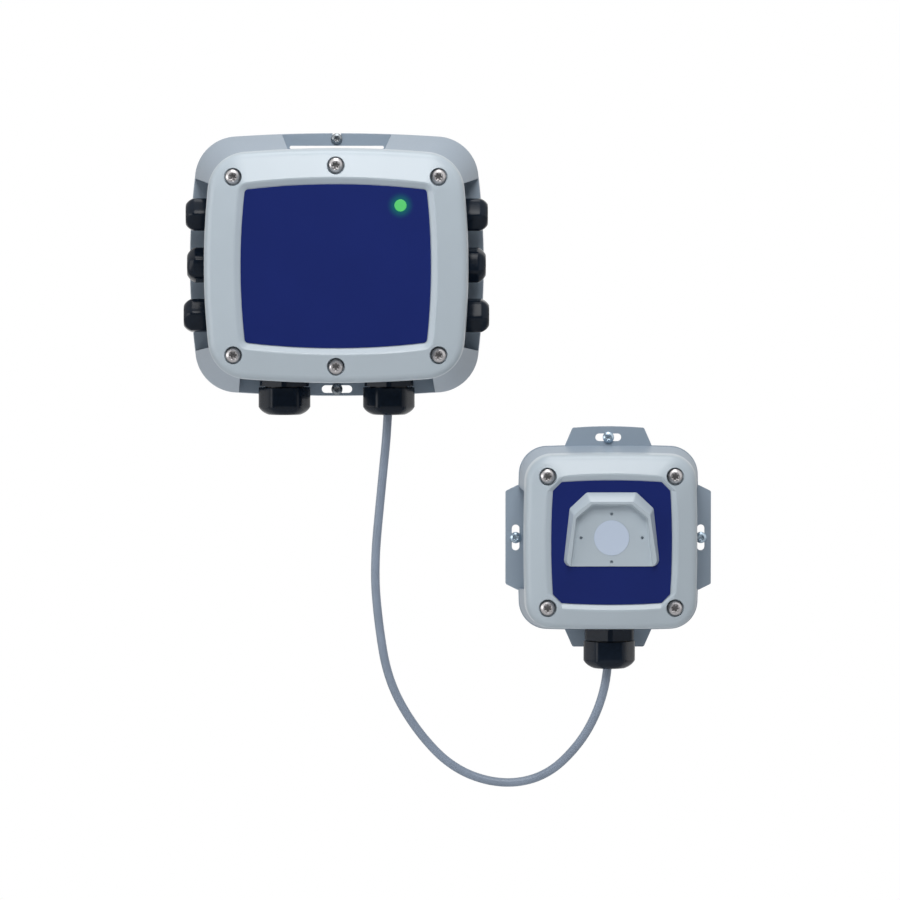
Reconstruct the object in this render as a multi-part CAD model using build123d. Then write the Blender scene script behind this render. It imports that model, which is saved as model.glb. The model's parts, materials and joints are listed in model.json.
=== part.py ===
from build123d import *
import os
from dataclasses import dataclass
from math import radians, tan

# Wall-mounted gas detector: a main housing, a remote sensor head and the cable that joins them.
# Millimetres, +Z up. The wall is the plane y = 0, and everything in front of it has a negative y.
# The origin is the middle of the main housing's rear face, and +X is to the right seen from the front.

os.makedirs("parts", exist_ok=True)

# General sizes of the mouldings
wall = 3.0
overrun = 5.0
edge_round = 0.9
recess_corner = 3.0
press_clearance = 0.05
running_clearance = 0.25

# Main housing: outline on the wall, outline at the seam, depths
main_half_width = 88.3
main_half_height = 78.9
main_corner = 25.4
main_side_bow = 3.2
main_end_bow = 2.0
main_base_depth = 50.0
main_depth = 82.0
main_seam_half_width = 78.2
main_seam_half_height = 69.4
main_seam_corner = 23.6
main_seam_side_bow = 2.3
main_seam_end_bow = 2.2
seam_step = 0.35

# Main housing: the recesses round the cable glands and the hanging tab
side_wall_x = 69.0
end_wall_z = 64.0
side_recess_half = 51.6
side_recess_narrowing = 3.2
top_recess_half = 32.7
top_recess_narrowing = 4.2
bottom_recess_half = 58.8
bottom_recess_narrowing = 1.8

# Main housing: wall slots and the tie slit above the box
notch_width = 5.0
notch_z = 75.2
main_slot_length = 18.2
main_slot_height = 4.6
main_slot_z = -74.6
slit_length = 56.4
slit_height = 1.8
slit_z = 70.2

# Cover screws, the bosses that take them and the seal that passes inside them
cover_screw_r = 2.0
cover_screw_head_r = 4.6
cover_screw_head_height = 3.0
cover_screw_grip = 12.0
counterbore_r = 5.3
boss_r = 6.5
seal_width = 2.4
seal_height = 1.4
seal_lip = 0.6
main_screw_x = 60.2
main_screw_z = 52.2
main_mid_screw_z = 58.9

# Main cover: pillowed frame, bevel, label and light pipe
main_shoulder_depth = 76.2
main_shoulder_round = 6.0
main_draft = 1.0
main_label_half_width = 55.9
main_label_half_height = 48.1
main_label_corner = 2.4
main_label_side_bow = 2.3
main_label_end_bow = 3.0
main_bevel_width = 3.5
main_label_sink = 2.8
rim_land = 0.7
rim_round = 1.8
label_thickness = 0.5
label_gap = 0.15
cover_front_wall = 2.8
main_counterbore_depth = 76.6
channel_front = 71.0
rib_thickness = 1.6
rib_pitch = 18.0
light_pipe_x = 37.9
light_pipe_z = 35.5
light_pipe_head_r = 3.5
light_pipe_stem_r = 2.5
light_pipe_flange_r = 5.0
light_pipe_flange_height = 1.2
light_pipe_proud = 0.4

# Circuit boards
board_thickness = 1.6
main_board_half_width = 52.0
main_board_half_height = 44.0
main_board_depth = 12.0
board_post_inset = 6.0
board_post_drop = 5.5
main_standoff_x = main_board_half_width - board_post_inset
main_standoff_z = main_board_half_height - board_post_drop
standoff_r = 3.2
board_corner = 2.0
board_screw_r = 1.4
board_screw_head_r = 2.7
board_screw_head_height = 1.8
board_screw_length = 7.0
floor_rib_height = 4.0

# Electronic pieces on the main board
relay_width = 15.5
relay_height = 19.0
relay_depth = 15.5
relay_pitch = 20.0
relay_first_x_share = -0.577
relay_z_share = 0.625
terminal_pitch = 5.08
terminal_depth = 8.2
terminal_height = 10.5
terminal_entry_r = 1.5
terminal_entry_from_board = 4.2
terminal_screw_r = 1.6
terminal_screw_sink = 1.2
relay_terminal_poles = 6
power_terminal_poles = 3
sensor_terminal_poles = 4
board_edge_gap = 1.5
relay_terminal_drop_share = 0.05
terminal_screw_gap = 2.04
sensor_terminal_length = sensor_terminal_poles * terminal_pitch
lower_terminal_end_x = main_standoff_x - board_screw_head_r - terminal_screw_gap
lower_terminal_x = lower_terminal_end_x - sensor_terminal_length / 2
led_round_share = 0.9
led_r = 2.5
led_height = 5.2
led_base_r = 2.9
led_base_height = 1.0
processor_side = 12.0
processor_height = 1.6
processor_x_share = 0.115
processor_z_share = -0.136
radio_width = 13.0
radio_height = 18.0
radio_depth = 2.4
radio_x_share = 0.577
radio_z_share = 0.227
buzzer_r = 6.0
buzzer_height = 8.5
buzzer_hole_r = 1.1
buzzer_x_share = -0.269
buzzer_z_share = -0.091
capacitor_r = 4.0
capacitor_height = 12.0
capacitor_x_share = -0.615
capacitor_z_share = -0.045
capacitor_pitch = 10.0

# Small side glands, M16 size
side_gland_pitch = 30.0
side_gland_depth = 24.0
side_thread_r = 7.9
side_flange_af = 21.0
side_nut_af = 19.4
side_nut_r = 10.7
side_nut_end_r = 6.2
side_nut_length = 14.4
side_flange_end = 5.3
side_mouth_r = 4.6
side_sleeve_r = 8.0
side_sleeve_length = 7.0
left_nut_reach = (20.6, 19.8, 21.9)
right_nut_reach = (21.0, 19.8, 21.8)
side_nut_turns = (2.0, 20.0, 8.0)

# Large lower glands, M20 size
lower_gland_x = 31.1
lower_gland_depth = 24.0
lower_thread_r = 9.9
lower_flange_af = 29.0
lower_nut_af = 28.2
lower_nut_r = 15.6
lower_nut_end_r = 9.8
lower_nut_length = 16.3
lower_flange_end = 8.0
lower_mouth_r = 6.4
lower_sleeve_r = 11.4
lower_sleeve_length = 9.0
lower_nut_reach = 25.0
lower_nut_turns = (28.0, 26.0)
remote_nut_turn = 29.0

# What every gland shares
washer_thickness = 1.0
thread_clearance = 0.1
locknut_height = 4.0
gland_stem_past_locknut = 0.5
gland_wall = 1.6
washer_share = 0.94
flange_corner_share = 1.1
plug_r_share = 0.86
nut_mouth_depth = 2.2
nut_cone_length = 3.6
nut_dome_length = 4.6
nut_shoulder_share = 0.6
plug_setback = 0.4
plug_head_round = 0.8
insert_setback = 1.6

# Screws that hold the detector to the wall
wall_screw_head_r = 3.4
wall_screw_head_height = 2.4
wall_screw_neck_r = 1.7
wall_screw_thread_r = 2.1
wall_screw_thread_length = 16.0
wall_screw_tip_length = 4.0
wall_screw_point_r = 0.2

# Shape of every screw head, as shares of its radius and height
head_edge_share = 0.4
head_dome_r_share = 0.64
head_dome_rise_share = 0.82
drive_reach_share = 0.58
drive_width_share = 0.2
drive_depth_share = 0.5

# Remote sensor head: place of its middle, outlines and depths
remote_x = 162.8
remote_z = -163.8
remote_half_width = 54.3
remote_half_height = 55.6
remote_corner = 17.0
remote_bow = 0.6
remote_base_depth = 34.0
remote_seam_half_width = 51.8
remote_seam_half_height = 52.6
remote_seam_corner = 16.4
remote_shoulder_depth = 49.6
remote_front_depth = 54.4
remote_depth = 60.0
remote_shoulder_round = 6.0
remote_draft = 0.8

# Remote sensor head: ears, slots and recesses
top_ear_z = 66.0
top_ear_bow = 0.8
lower_ear_z = 65.7
end_ear_tip_half = 21.4
end_ear_root_half = 25.9
side_ear_x = 61.7
side_ear_tip_half = 27.9
side_ear_root_x = 54.6
side_ear_root_half = 31.4
ear_corner = 1.4
remote_slot_length = 15.6
remote_slot_height = 4.6
remote_end_slot_z = 60.2
remote_side_slot_x = 55.6
remote_side_wall_x = 47.5
remote_end_wall_z = 52.0
remote_side_recess_half = 30.6
remote_side_recess_narrowing = 1.5
remote_bottom_recess_half = 24.0
remote_bottom_recess_narrowing = 1.2
remote_gland_depth = 20.0
remote_screw_x = 37.7
remote_screw_z = 39.0
remote_boss_r = 6.3

# Remote cover: label, hood and sensor opening
remote_label_half_width = 35.9
remote_label_half_height = 37.0
remote_label_bow = 1.0
remote_label_chamfer = 5.2
remote_bevel_width = 3.0
remote_bevel_chamfer_extra = 0.5
remote_land_width = 1.0
remote_land_corner = 14.0
remote_label_sink = 1.4
remote_counterbore_depth = 50.0
hood_floor_depth = 54.2
hood_low_depth = 57.0
hood_corner = 2.4
hood_foot_corner = 4.0
hood_floor_round = 1.4
hood_lip = 1.0
hood_top_z = 30.1
hood_top_half = 14.9
hood_knee_z = 20.6
hood_knee_half = 25.0
hood_foot_z = -14.1
hood_foot_half = 28.8
hood_inner_top_z = 23.1
hood_inner_top_half = 11.6
hood_inner_knee_z = 14.8
hood_inner_knee_half = 21.2
hood_inner_foot_half = 25.0
sensor_z = 2.8
membrane_r = 10.4
membrane_thickness = 0.8
membrane_sink = 0.6
sensor_port_r = 8.2
pin_hole_r = 0.9
pin_hole_depth = 2.0
pin_hole_x = 18.1
pin_hole_z = 14.2

# Pieces inside the remote sensor head
remote_board_half_width = 40.0
remote_board_half_height = 31.0
remote_board_depth = 32.0
remote_post_inset = 4.5
remote_standoff_x = remote_board_half_width - remote_post_inset
remote_standoff_z = remote_board_half_height - remote_post_inset
sensor_cell_r = 10.2
cell_mouth_share = 0.7
sensor_gasket_thickness = 1.2
sensor_socket_r = 11.6
sensor_socket_height = 4.0
remote_chip_side = 9.0
remote_chip_height = 1.4
remote_chip_x_share = 0.65
remote_chip_z_share = 0.387

# Sensor cable: jacket, cores and the hand-laid route from gland to gland
cable_r = 2.6
core_r = 0.6
core_spread = 1.0
core_lead = 4.0
core_bend_r = 2.6
main_jacket_end_z = -59.4
remote_jacket_end_z = -212.6
cable_points = (
    (31.1, -24.0, -59.4),
    (31.1, -24.0, -88.6),
    (26.3, -23.6, -136.0),
    (22.2, -22.8, -180.0),
    (23.7, -21.6, -212.0),
    (30.6, -20.2, -248.0),
    (46.6, -18.8, -278.4),
    (70.0, -17.6, -301.6),
    (98.0, -17.0, -311.6),
    (124.2, -17.2, -306.0),
    (144.6, -18.2, -286.6),
    (156.8, -19.4, -263.8),
    (162.8, -20.0, -238.6),
    (162.8, -20.0, -212.6),
)
bend_share = 0.45


def at_depth(depth):
    """Plane at a depth in front of the wall, facing the viewer, with X to the right and Z up."""
    return Plane.XZ.offset(depth)


def facing(origin, direction, across):
    """Location that carries local +Z to a direction and local +X to another across it."""
    return Plane(origin=origin, x_dir=across, z_dir=direction).location


def facing_viewer(x, depth, z):
    """Location at a depth with local +Z towards the viewer and local +Y upwards."""
    return facing((x, -depth, z), (0, -1, 0), (1, 0, 0))


def slab(low, high):
    """Box from its lowest to its highest corner."""
    sizes = [b - a for a, b in zip(low, high)]
    middle = [(a + b) / 2 for a, b in zip(low, high)]
    return Pos(*middle) * Box(*sizes)


def column(radius, start, end, x=0, z=0):
    """Round column along the viewing axis between two depths."""
    return extrude(at_depth(start) * Pos(x, z) * Circle(radius), end - start)


def mirrored_pairs(x, z):
    """The four places that mirror one place about both axes."""
    return [(sx * x, sz * z) for sx in (-1, 1) for sz in (-1, 1)]


def save(name, *shapes):
    """Write one node from the solids of its shapes."""
    solids = [solid for shape in shapes for solid in shape.solids()]
    export_step(solids[0] if len(solids) == 1 else Compound(solids), f"parts/{name}.step")


def at_remote(shape):
    """Move a shape from the middle of the remote head's rear face to its place."""
    return Pos(remote_x, 0, remote_z) * shape


# Outlines of the housings


def bow_radius(bow, corner, along):
    """Radius of a long side that stands out by a bow and runs tangent into both corner arcs."""
    return (bow**2 + 2 * bow * corner + along**2) / (2 * bow)


@dataclass(frozen=True)
class Outline:
    """Rounded rectangle whose four sides bow outwards and run tangent into the corner arcs."""

    half_width: float
    half_height: float
    corner: float
    side_bow: float
    end_bow: float

    def inset(self, amount):
        """The same outline, smaller all round."""
        return Outline(
            self.half_width - amount,
            self.half_height - amount,
            self.corner - amount,
            self.side_bow,
            self.end_bow,
        )

    def corner_points(self):
        """Start, middle and end of the first quadrant's corner arc."""
        centre = Vector(
            self.half_width - self.side_bow - self.corner,
            self.half_height - self.end_bow - self.corner,
        )
        side = bow_radius(self.side_bow, self.corner, centre.Y)
        end = bow_radius(self.end_bow, self.corner, centre.X)
        to_side = (centre - Vector(self.half_width - side, 0)).normalized()
        to_end = (centre - Vector(0, self.half_height - end)).normalized()
        between = (to_side + to_end).normalized()
        return [centre + way * self.corner for way in (to_side, between, to_end)]

    def corner_edge(self, points):
        """The corner as an arc through its three points."""
        return ThreePointArc(*points)

    def face(self):
        """The outline as a flat face."""
        corners = []
        for sx, sz in ((1, 1), (-1, 1), (-1, -1), (1, -1)):
            points = [Vector(sx * p.X, sz * p.Y) for p in self.corner_points()]
            corners.append(points if sx * sz > 0 else points[::-1])
        middles = (
            (0, self.half_height),
            (-self.half_width, 0),
            (0, -self.half_height),
            (self.half_width, 0),
        )
        edges = []
        for i, middle in enumerate(middles):
            edges.append(self.corner_edge(corners[i]))
            edges.append(ThreePointArc(corners[i][-1], middle, corners[(i + 1) % 4][0]))
        return make_face(edges)


@dataclass(frozen=True)
class ChamferedOutline(Outline):
    """Rectangle with bowed sides and straight cut corners; corner is the cut along each side."""

    def inset(self, amount):
        """The same outline, smaller all round, with its corners cut alike."""
        return ChamferedOutline(
            self.half_width - amount,
            self.half_height - amount,
            self.corner,
            self.side_bow,
            self.end_bow,
        )

    def corner_points(self):
        """Both ends of the first quadrant's cut corner."""
        x = self.half_width - self.side_bow
        z = self.half_height - self.end_bow
        return [Vector(x, z - self.corner), Vector(x - self.corner, z)]

    def corner_edge(self, points):
        """The corner as a straight line."""
        return Line(points[0], points[-1])


main_rear = Outline(main_half_width, main_half_height, main_corner, main_side_bow, main_end_bow)
main_seam = Outline(
    main_seam_half_width,
    main_seam_half_height,
    main_seam_corner,
    main_seam_side_bow,
    main_seam_end_bow,
)
main_label_outline = Outline(
    main_label_half_width,
    main_label_half_height,
    main_label_corner,
    main_label_side_bow,
    main_label_end_bow,
)
main_rim = main_label_outline.inset(-main_bevel_width)
remote_rear = Outline(
    remote_half_width, remote_half_height, remote_corner, remote_bow, remote_bow
)
remote_seam = Outline(
    remote_seam_half_width, remote_seam_half_height, remote_seam_corner, remote_bow, remote_bow
)
remote_label_outline = ChamferedOutline(
    remote_label_half_width,
    remote_label_half_height,
    remote_label_chamfer,
    remote_label_bow,
    remote_label_bow,
)
remote_rim = ChamferedOutline(
    remote_label_half_width + remote_bevel_width,
    remote_label_half_height + remote_bevel_width,
    remote_label_chamfer + remote_bevel_width + remote_bevel_chamfer_extra,
    remote_label_bow,
    remote_label_bow,
)


remote_land = Outline(
    remote_rim.half_width + remote_land_width,
    remote_rim.half_height + remote_land_width,
    remote_land_corner,
    remote_label_bow,
    remote_label_bow,
)


def skin(near, near_depth, far, far_depth):
    """Solid between two outlines at two depths."""
    return loft(
        [at_depth(near_depth) * near.face(), at_depth(far_depth) * far.face()], ruled=True
    )


# Parts of a housing that both mouldings share


def pocket(wall_at, rear_half, narrowing, depth, turn, grow=0):
    """Recess that leaves the rear flange: open to the side and the front, its ends drawn in forwards.

    It is made on the +X side and turned about the viewing axis. grow widens it for the walls round it.
    """
    front = depth + overrun
    slope = narrowing / (depth - wall)
    front_half = rear_half + grow - slope * (front - wall)
    side = Plane(origin=(wall_at - grow, 0, 0), x_dir=(0, -1, 0), z_dir=(1, 0, 0))
    ends = Polygon(
        (wall - grow, -rear_half - grow),
        (front, -front_half),
        (front, front_half),
        (wall - grow, rear_half + grow),
        align=None,
    )
    block = extrude(side * ends, main_half_width)
    corners = block.edges().group_by(Axis.X)[0].filter_by(Axis.Z, reverse=True)
    return Rot(0, turn, 0) * fillet(corners, recess_corner)


def boss_block(x, z, reach_x, reach_z, radius):
    """Section of a screw boss with the web that ties it into the corner of the box."""
    sx = 1 if x > 0 else -1
    sz = 1 if z > 0 else -1
    block = Pos(x, z) * Circle(radius)
    block += Pos((x + sx * reach_x) / 2, (z - sz * radius + sz * reach_z) / 2) * Rectangle(
        reach_x - abs(x), reach_z - abs(z) + radius
    )
    block += Pos((x - sx * radius + sx * reach_x) / 2, (z + sz * reach_z) / 2) * Rectangle(
        reach_x - abs(x) + radius, reach_z - abs(z)
    )
    return block


def main_cavity():
    """Section of the main box's inside, which passes round the screw bosses."""
    half_x = side_wall_x - wall
    half_z = end_wall_z - wall
    section = Rectangle(2 * half_x, 2 * half_z)
    for x, z in mirrored_pairs(main_screw_x, main_screw_z):
        section -= boss_block(x, z, half_x + overrun, half_z + overrun, boss_r)
    for side in (-1, 1):
        section -= Pos(0, side * main_mid_screw_z) * Circle(boss_r)
        section -= Pos(0, side * (main_mid_screw_z + half_z) / 2) * Rectangle(
            2 * boss_r, half_z - main_mid_screw_z
        )
    return section


def remote_cavity():
    """Section of the remote box's inside, which passes round the screw bosses."""
    half_x = remote_side_wall_x - wall
    half_z = remote_end_wall_z - wall
    section = Rectangle(2 * half_x, 2 * half_z)
    for x, z in mirrored_pairs(remote_screw_x, remote_screw_z):
        section -= boss_block(x, z, half_x + overrun, half_z + overrun, remote_boss_r)
    return section


def seal_ring(cavity):
    """Section of the cover seal, which follows the box's inside a lip's width away."""
    inner = offset(cavity, seal_lip, kind=Kind.ARC)
    return offset(cavity, seal_lip + seal_width, kind=Kind.ARC) - inner


def floor_ribs(half_x, half_z, rib_x, rib_z):
    """Stiffening ribs on the floor of a box, two each way."""
    ribs = []
    for side in (-1, 1):
        upright = Pos(side * rib_x, 0) * Rectangle(rib_thickness, 2 * half_z)
        level = Pos(0, side * rib_z) * Rectangle(2 * half_x, rib_thickness)
        ribs += [extrude(at_depth(wall) * s, floor_rib_height) for s in (upright, level)]
    return ribs


def standoffs(x, z, board_depth):
    """Four board posts on a box's floor."""
    return [column(standoff_r, wall, board_depth, px, pz) for px, pz in mirrored_pairs(x, z)]


def pilot_holes(places, radius, length, front):
    """Blind holes for screws, from a front depth inwards."""
    bore = radius + press_clearance
    return [column(bore, front - length, front, x, z) for x, z in places]


def slot(length, height, x, z, turn=0):
    """Round-ended slot through the rear flange."""
    return extrude(
        at_depth(-overrun) * Pos(x, z) * Rot(0, 0, turn) * SlotOverall(length, height),
        wall + 2 * overrun,
    )


# Fasteners


def drive(radius, depth):
    """Six-pointed driver recess, from three crossed bars."""
    bars = [
        Rot(0, 0, turn) * Box(2 * radius, 2 * radius * drive_width_share, 2 * depth)
        for turn in range(0, 180, 60)
    ]
    return bars[0] + bars[1] + bars[2]


def pan_head(radius, height):
    """Pan head along +Z with its underside at the origin."""
    edge = height * head_edge_share
    profile = Polyline((0, 0), (radius, 0), (radius, edge)) + Line((0, height), (0, 0))
    profile += ThreePointArc(
        (radius, edge),
        (radius * head_dome_r_share, edge + (height - edge) * head_dome_rise_share),
        (0, height),
    )
    head = revolve(Plane.XZ * make_face(profile.edges()), Axis.Z)
    reach = radius * drive_reach_share
    return head - Pos(0, 0, height) * drive(reach, height * drive_depth_share)


def plain_screw(head_r, head_height, shank_r, length):
    """Machine screw along +Z, with its head's underside at the origin and its shank below."""
    shank = Cylinder(shank_r, length, align=(Align.CENTER, Align.CENTER, Align.MAX))
    return pan_head(head_r, head_height) + shank


def wall_screw():
    """Screw whose neck lies in a slot and whose threaded part stands out behind the wall plane."""
    neck = Cylinder(wall_screw_neck_r, wall, align=(Align.CENTER, Align.CENTER, Align.MAX))
    thread = Pos(0, 0, -wall) * Cylinder(
        wall_screw_thread_r,
        wall_screw_thread_length,
        align=(Align.CENTER, Align.CENTER, Align.MAX),
    )
    tip = Pos(0, 0, -wall - wall_screw_thread_length) * Cone(
        wall_screw_point_r,
        wall_screw_thread_r,
        wall_screw_tip_length,
        align=(Align.CENTER, Align.CENTER, Align.MAX),
    )
    return pan_head(wall_screw_head_r, wall_screw_head_height) + neck + thread + tip


def on_flange(x, z):
    """Place of a wall screw whose head bears on the front of the rear flange."""
    return facing_viewer(x, wall, z)


def seated(shape, x, z, depth):
    """A piece made along +Z, seated at a depth and pointing at the viewer."""
    return facing_viewer(x, depth, z) * shape


# Cable glands, made along +Z with the outer face of the housing wall at the origin


@dataclass(frozen=True)
class GlandSize:
    """Sizes of one kind of cable gland."""

    thread_r: float
    flange_af: float
    flange_end: float
    sleeve_r: float
    sleeve_length: float
    nut_af: float
    nut_r: float
    nut_end_r: float
    nut_length: float
    mouth_r: float

    def stem_end(self):
        """How far the thread reaches inside the wall's outer face."""
        return wall + locknut_height + gland_stem_past_locknut

    def bore_r(self):
        """Radius of the way through the body."""
        return self.thread_r - gland_wall

    def hexagon(self, across_flats, corner_r, low, high):
        """Six-sided prism whose corners are turned down to a radius."""
        prism = extrude(
            Pos(0, 0, low) * RegularPolygon(across_flats / 2, 6, major_radius=False), high - low
        )
        rod = extrude(Pos(0, 0, low) * Circle(corner_r), high - low)
        return prism & rod

    def body(self):
        """Threaded stem, hexagon flange and the sleeve that the nut screws on to."""
        stem = extrude(Circle(self.thread_r), -self.stem_end())
        collar = extrude(Circle(self.thread_r), washer_thickness)
        flange = self.hexagon(
            self.flange_af, self.flange_af / 2 * flange_corner_share, washer_thickness, self.flange_end
        )
        sleeve = extrude(Pos(0, 0, self.flange_end) * Circle(self.sleeve_r), self.sleeve_length)
        bore = extrude(
            Pos(0, 0, -self.stem_end() - overrun) * Circle(self.bore_r()),
            self.stem_end() + self.flange_end + overrun,
        )
        socket = extrude(
            Pos(0, 0, self.flange_end) * Circle(self.sleeve_r - gland_wall),
            self.sleeve_length + overrun,
        )
        return stem + collar + flange + sleeve - bore - socket

    def washer(self):
        """Flat sealing ring between the flange and the wall."""
        ring = Circle(self.flange_af / 2 * washer_share) - Circle(self.thread_r)
        return extrude(ring, washer_thickness)

    def locknut(self):
        """Hexagon nut on the inside of the wall."""
        blank = self.hexagon(
            self.flange_af,
            self.flange_af / 2 * flange_corner_share,
            -wall - locknut_height,
            -wall,
        )
        hole = extrude(
            Pos(0, 0, -wall - locknut_height - overrun) * Circle(self.thread_r),
            locknut_height + 2 * overrun,
        )
        return blank - hole

    def nut(self, reach):
        """Dome nut whose outer end is at a reach: rounded hexagon, sloping shoulder, round mouth."""
        start = reach - self.nut_length
        shoulder = reach - nut_dome_length
        slope = self.nut_r - self.nut_end_r
        bore = self.sleeve_r + thread_clearance
        outer = Polyline((bore, start), (self.nut_r, start), (self.nut_r, shoulder))
        outer += ThreePointArc(
            (self.nut_r, shoulder),
            (
                self.nut_end_r + slope * nut_shoulder_share,
                shoulder + nut_dome_length * nut_shoulder_share,
            ),
            (self.nut_end_r, reach),
        )
        outer += Polyline(
            (self.nut_end_r, reach),
            (self.mouth_r, reach),
            (self.mouth_r, reach - nut_mouth_depth),
            (bore, reach - nut_mouth_depth - nut_cone_length),
            (bore, start),
        )
        turned = revolve(Plane.XZ * make_face(outer.edges()), Axis.Z)
        flats = extrude(
            Pos(0, 0, start) * RegularPolygon(self.nut_af / 2, 6, major_radius=False),
            self.nut_length,
        )
        return turned & flats

    def insert(self, reach, hold_r):
        """Rubber sealing sleeve that grips what passes through the gland."""
        low = self.flange_end
        cone = reach - nut_mouth_depth - nut_cone_length
        sleeve_end = self.flange_end + self.sleeve_length
        fit = self.sleeve_r - gland_wall
        profile = Polyline(
            (hold_r, low),
            (fit, low),
            (fit, min(sleeve_end, cone)),
            (self.mouth_r, reach - nut_mouth_depth),
            (self.mouth_r, reach - insert_setback),
            (hold_r, reach - insert_setback),
            (hold_r, low),
        )
        return revolve(Plane.XZ * make_face(profile.edges()), Axis.Z)

    def plug(self, reach, hold_r):
        """Blanking plug with a rounded outer face, held by the insert."""
        rod = extrude(
            Pos(0, 0, self.flange_end) * Circle(hold_r), reach - plug_setback - self.flange_end
        )
        return fillet(rod.edges().group_by(Axis.Z)[-1], plug_head_round)


side_gland = GlandSize(
    side_thread_r,
    side_flange_af,
    side_flange_end,
    side_sleeve_r,
    side_sleeve_length,
    side_nut_af,
    side_nut_r,
    side_nut_end_r,
    side_nut_length,
    side_mouth_r,
)
lower_gland = GlandSize(
    lower_thread_r,
    lower_flange_af,
    lower_flange_end,
    lower_sleeve_r,
    lower_sleeve_length,
    lower_nut_af,
    lower_nut_r,
    lower_nut_end_r,
    lower_nut_length,
    lower_mouth_r,
)


def side_gland_places():
    """Location, nut reach and nut turn of each side gland."""
    places = []
    for side, reaches in ((-1, left_nut_reach), (1, right_nut_reach)):
        for step, reach, turn in zip((1, 0, -1), reaches, side_nut_turns):
            origin = (side * side_wall_x, -side_gland_depth, step * side_gland_pitch)
            places.append((facing(origin, (side, 0, 0), (0, -1, 0)), reach, turn))
    return places


def facing_down(x, depth, z):
    """Location at a depth with local +Z downwards and local +X towards the viewer."""
    return facing((x, -depth, z), (0, 0, -1), (0, -1, 0))


left_lower_place = facing_down(-lower_gland_x, lower_gland_depth, -end_wall_z)
right_lower_place = facing_down(lower_gland_x, lower_gland_depth, -end_wall_z)
remote_gland_place = facing_down(0, remote_gland_depth, -remote_end_wall_z)


# Main housing


def main_pockets(grow=0):
    """The recesses on the four sides of the main base."""
    sides = (
        (side_wall_x, side_recess_half, side_recess_narrowing, 0),
        (side_wall_x, side_recess_half, side_recess_narrowing, 180),
        (end_wall_z, top_recess_half, top_recess_narrowing, -90),
        (end_wall_z, bottom_recess_half, bottom_recess_narrowing, 90),
    )
    return [
        pocket(at, half, narrowing, main_base_depth, turn, grow)
        for at, half, narrowing, turn in sides
    ]


def make_main_base():
    """Rear moulding: tapered shell, recessed box, hollow corners, bosses, posts and wall slots."""
    body = skin(main_rear, 0, main_seam.inset(seam_step), main_base_depth)
    body = fillet(body.faces().sort_by(Axis.Y)[-1].edges(), edge_round)
    corners = skin(
        main_rear.inset(wall), 0, main_seam.inset(seam_step + wall), main_base_depth
    )
    corners -= slab(
        (-side_wall_x, -main_base_depth - overrun, -end_wall_z),
        (side_wall_x, overrun, end_wall_z),
    )
    corners -= slab(
        (-main_half_width, -main_base_depth - overrun, -main_half_height),
        (main_half_width, wall - main_base_depth, main_half_height),
    )
    for grown in main_pockets(wall):
        corners -= grown
    body -= corners
    for recess in main_pockets():
        body -= recess
    body -= extrude(at_depth(wall) * main_cavity(), main_base_depth)
    box_x = side_wall_x - wall
    box_z = end_wall_z - wall
    for piece in floor_ribs(box_x, box_z, main_standoff_x, main_standoff_z):
        body += piece
    for post in standoffs(main_standoff_x, main_standoff_z, main_board_depth):
        body += post
    posts = mirrored_pairs(main_standoff_x, main_standoff_z)
    for hole in pilot_holes(posts, board_screw_r, board_screw_length, main_board_depth):
        body -= hole
    screws = main_screw_places()
    for hole in pilot_holes(screws, cover_screw_r, cover_screw_grip + wall, main_base_depth):
        body -= hole
    for place, _, _ in side_gland_places():
        body -= place * Cylinder(side_thread_r + thread_clearance, 2 * wall + overrun)
    for place in (left_lower_place, right_lower_place):
        body -= place * Cylinder(lower_thread_r + thread_clearance, 2 * wall + overrun)
    body -= slot(main_slot_length, main_slot_height, 0, main_slot_z)
    body -= slot(slit_length, slit_height, 0, slit_z)
    body -= slot(
        2 * (main_half_height - notch_z) + notch_width, notch_width, 0, main_half_height, 90
    )
    return body


def main_screw_places():
    """Places of the six cover screws."""
    middles = [(0, side * main_mid_screw_z) for side in (-1, 1)]
    return mirrored_pairs(main_screw_x, main_screw_z) + middles


def channel_ribs():
    """Sections of the thin webs that cross the hollow of the main cover's frame."""
    ribs = []
    for step in (-2, -1, 0, 1, 2):
        ribs.append(Pos(0, step * rib_pitch) * Rectangle(3 * main_half_width, rib_thickness))
    for step in (-3, -2, -1, 0, 1, 2, 3):
        ribs.append(Pos(step * rib_pitch, 0) * Rectangle(rib_thickness, 3 * main_half_height))
    return ribs


def make_main_cover():
    """Front moulding: pillowed frame, bevelled label seat, cored underside and seal groove."""
    shoulder = main_seam.inset(main_draft)
    body = skin(main_seam, main_base_depth, shoulder, main_shoulder_depth)
    body += skin(shoulder, main_shoulder_depth, main_rim.inset(-rim_land), main_depth)
    edges = [e for e in body.edges() if lies_at(e, main_shoulder_depth)]
    body = fillet(edges, main_shoulder_round)
    floor = main_depth - main_label_sink
    body -= skin(main_label_outline, floor, main_rim, main_depth)
    body = round_rim(body)
    cavity = main_cavity()
    inner_face = floor - cover_front_wall
    body -= extrude(at_depth(main_base_depth) * cavity, inner_face - main_base_depth)
    channel = main_seam.inset(wall + seam_step).face()
    channel -= offset(cavity, wall + 2 * seal_lip, kind=Kind.ARC)
    for x, z in main_screw_places():
        channel -= Pos(x, z) * Circle(boss_r)
    for rib in channel_ribs():
        channel -= rib
    body -= extrude(at_depth(main_base_depth) * channel, channel_front - main_base_depth)
    body -= extrude(at_depth(main_base_depth) * seal_ring(cavity), seal_height)
    for x, z in main_screw_places():
        body -= column(counterbore_r, main_counterbore_depth, main_depth + overrun, x, z)
        body -= column(
            cover_screw_r + running_clearance, main_base_depth, main_counterbore_depth, x, z
        )
    body -= column(
        light_pipe_head_r + press_clearance,
        inner_face - overrun,
        floor + overrun,
        light_pipe_x,
        light_pipe_z,
    )
    return body


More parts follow.
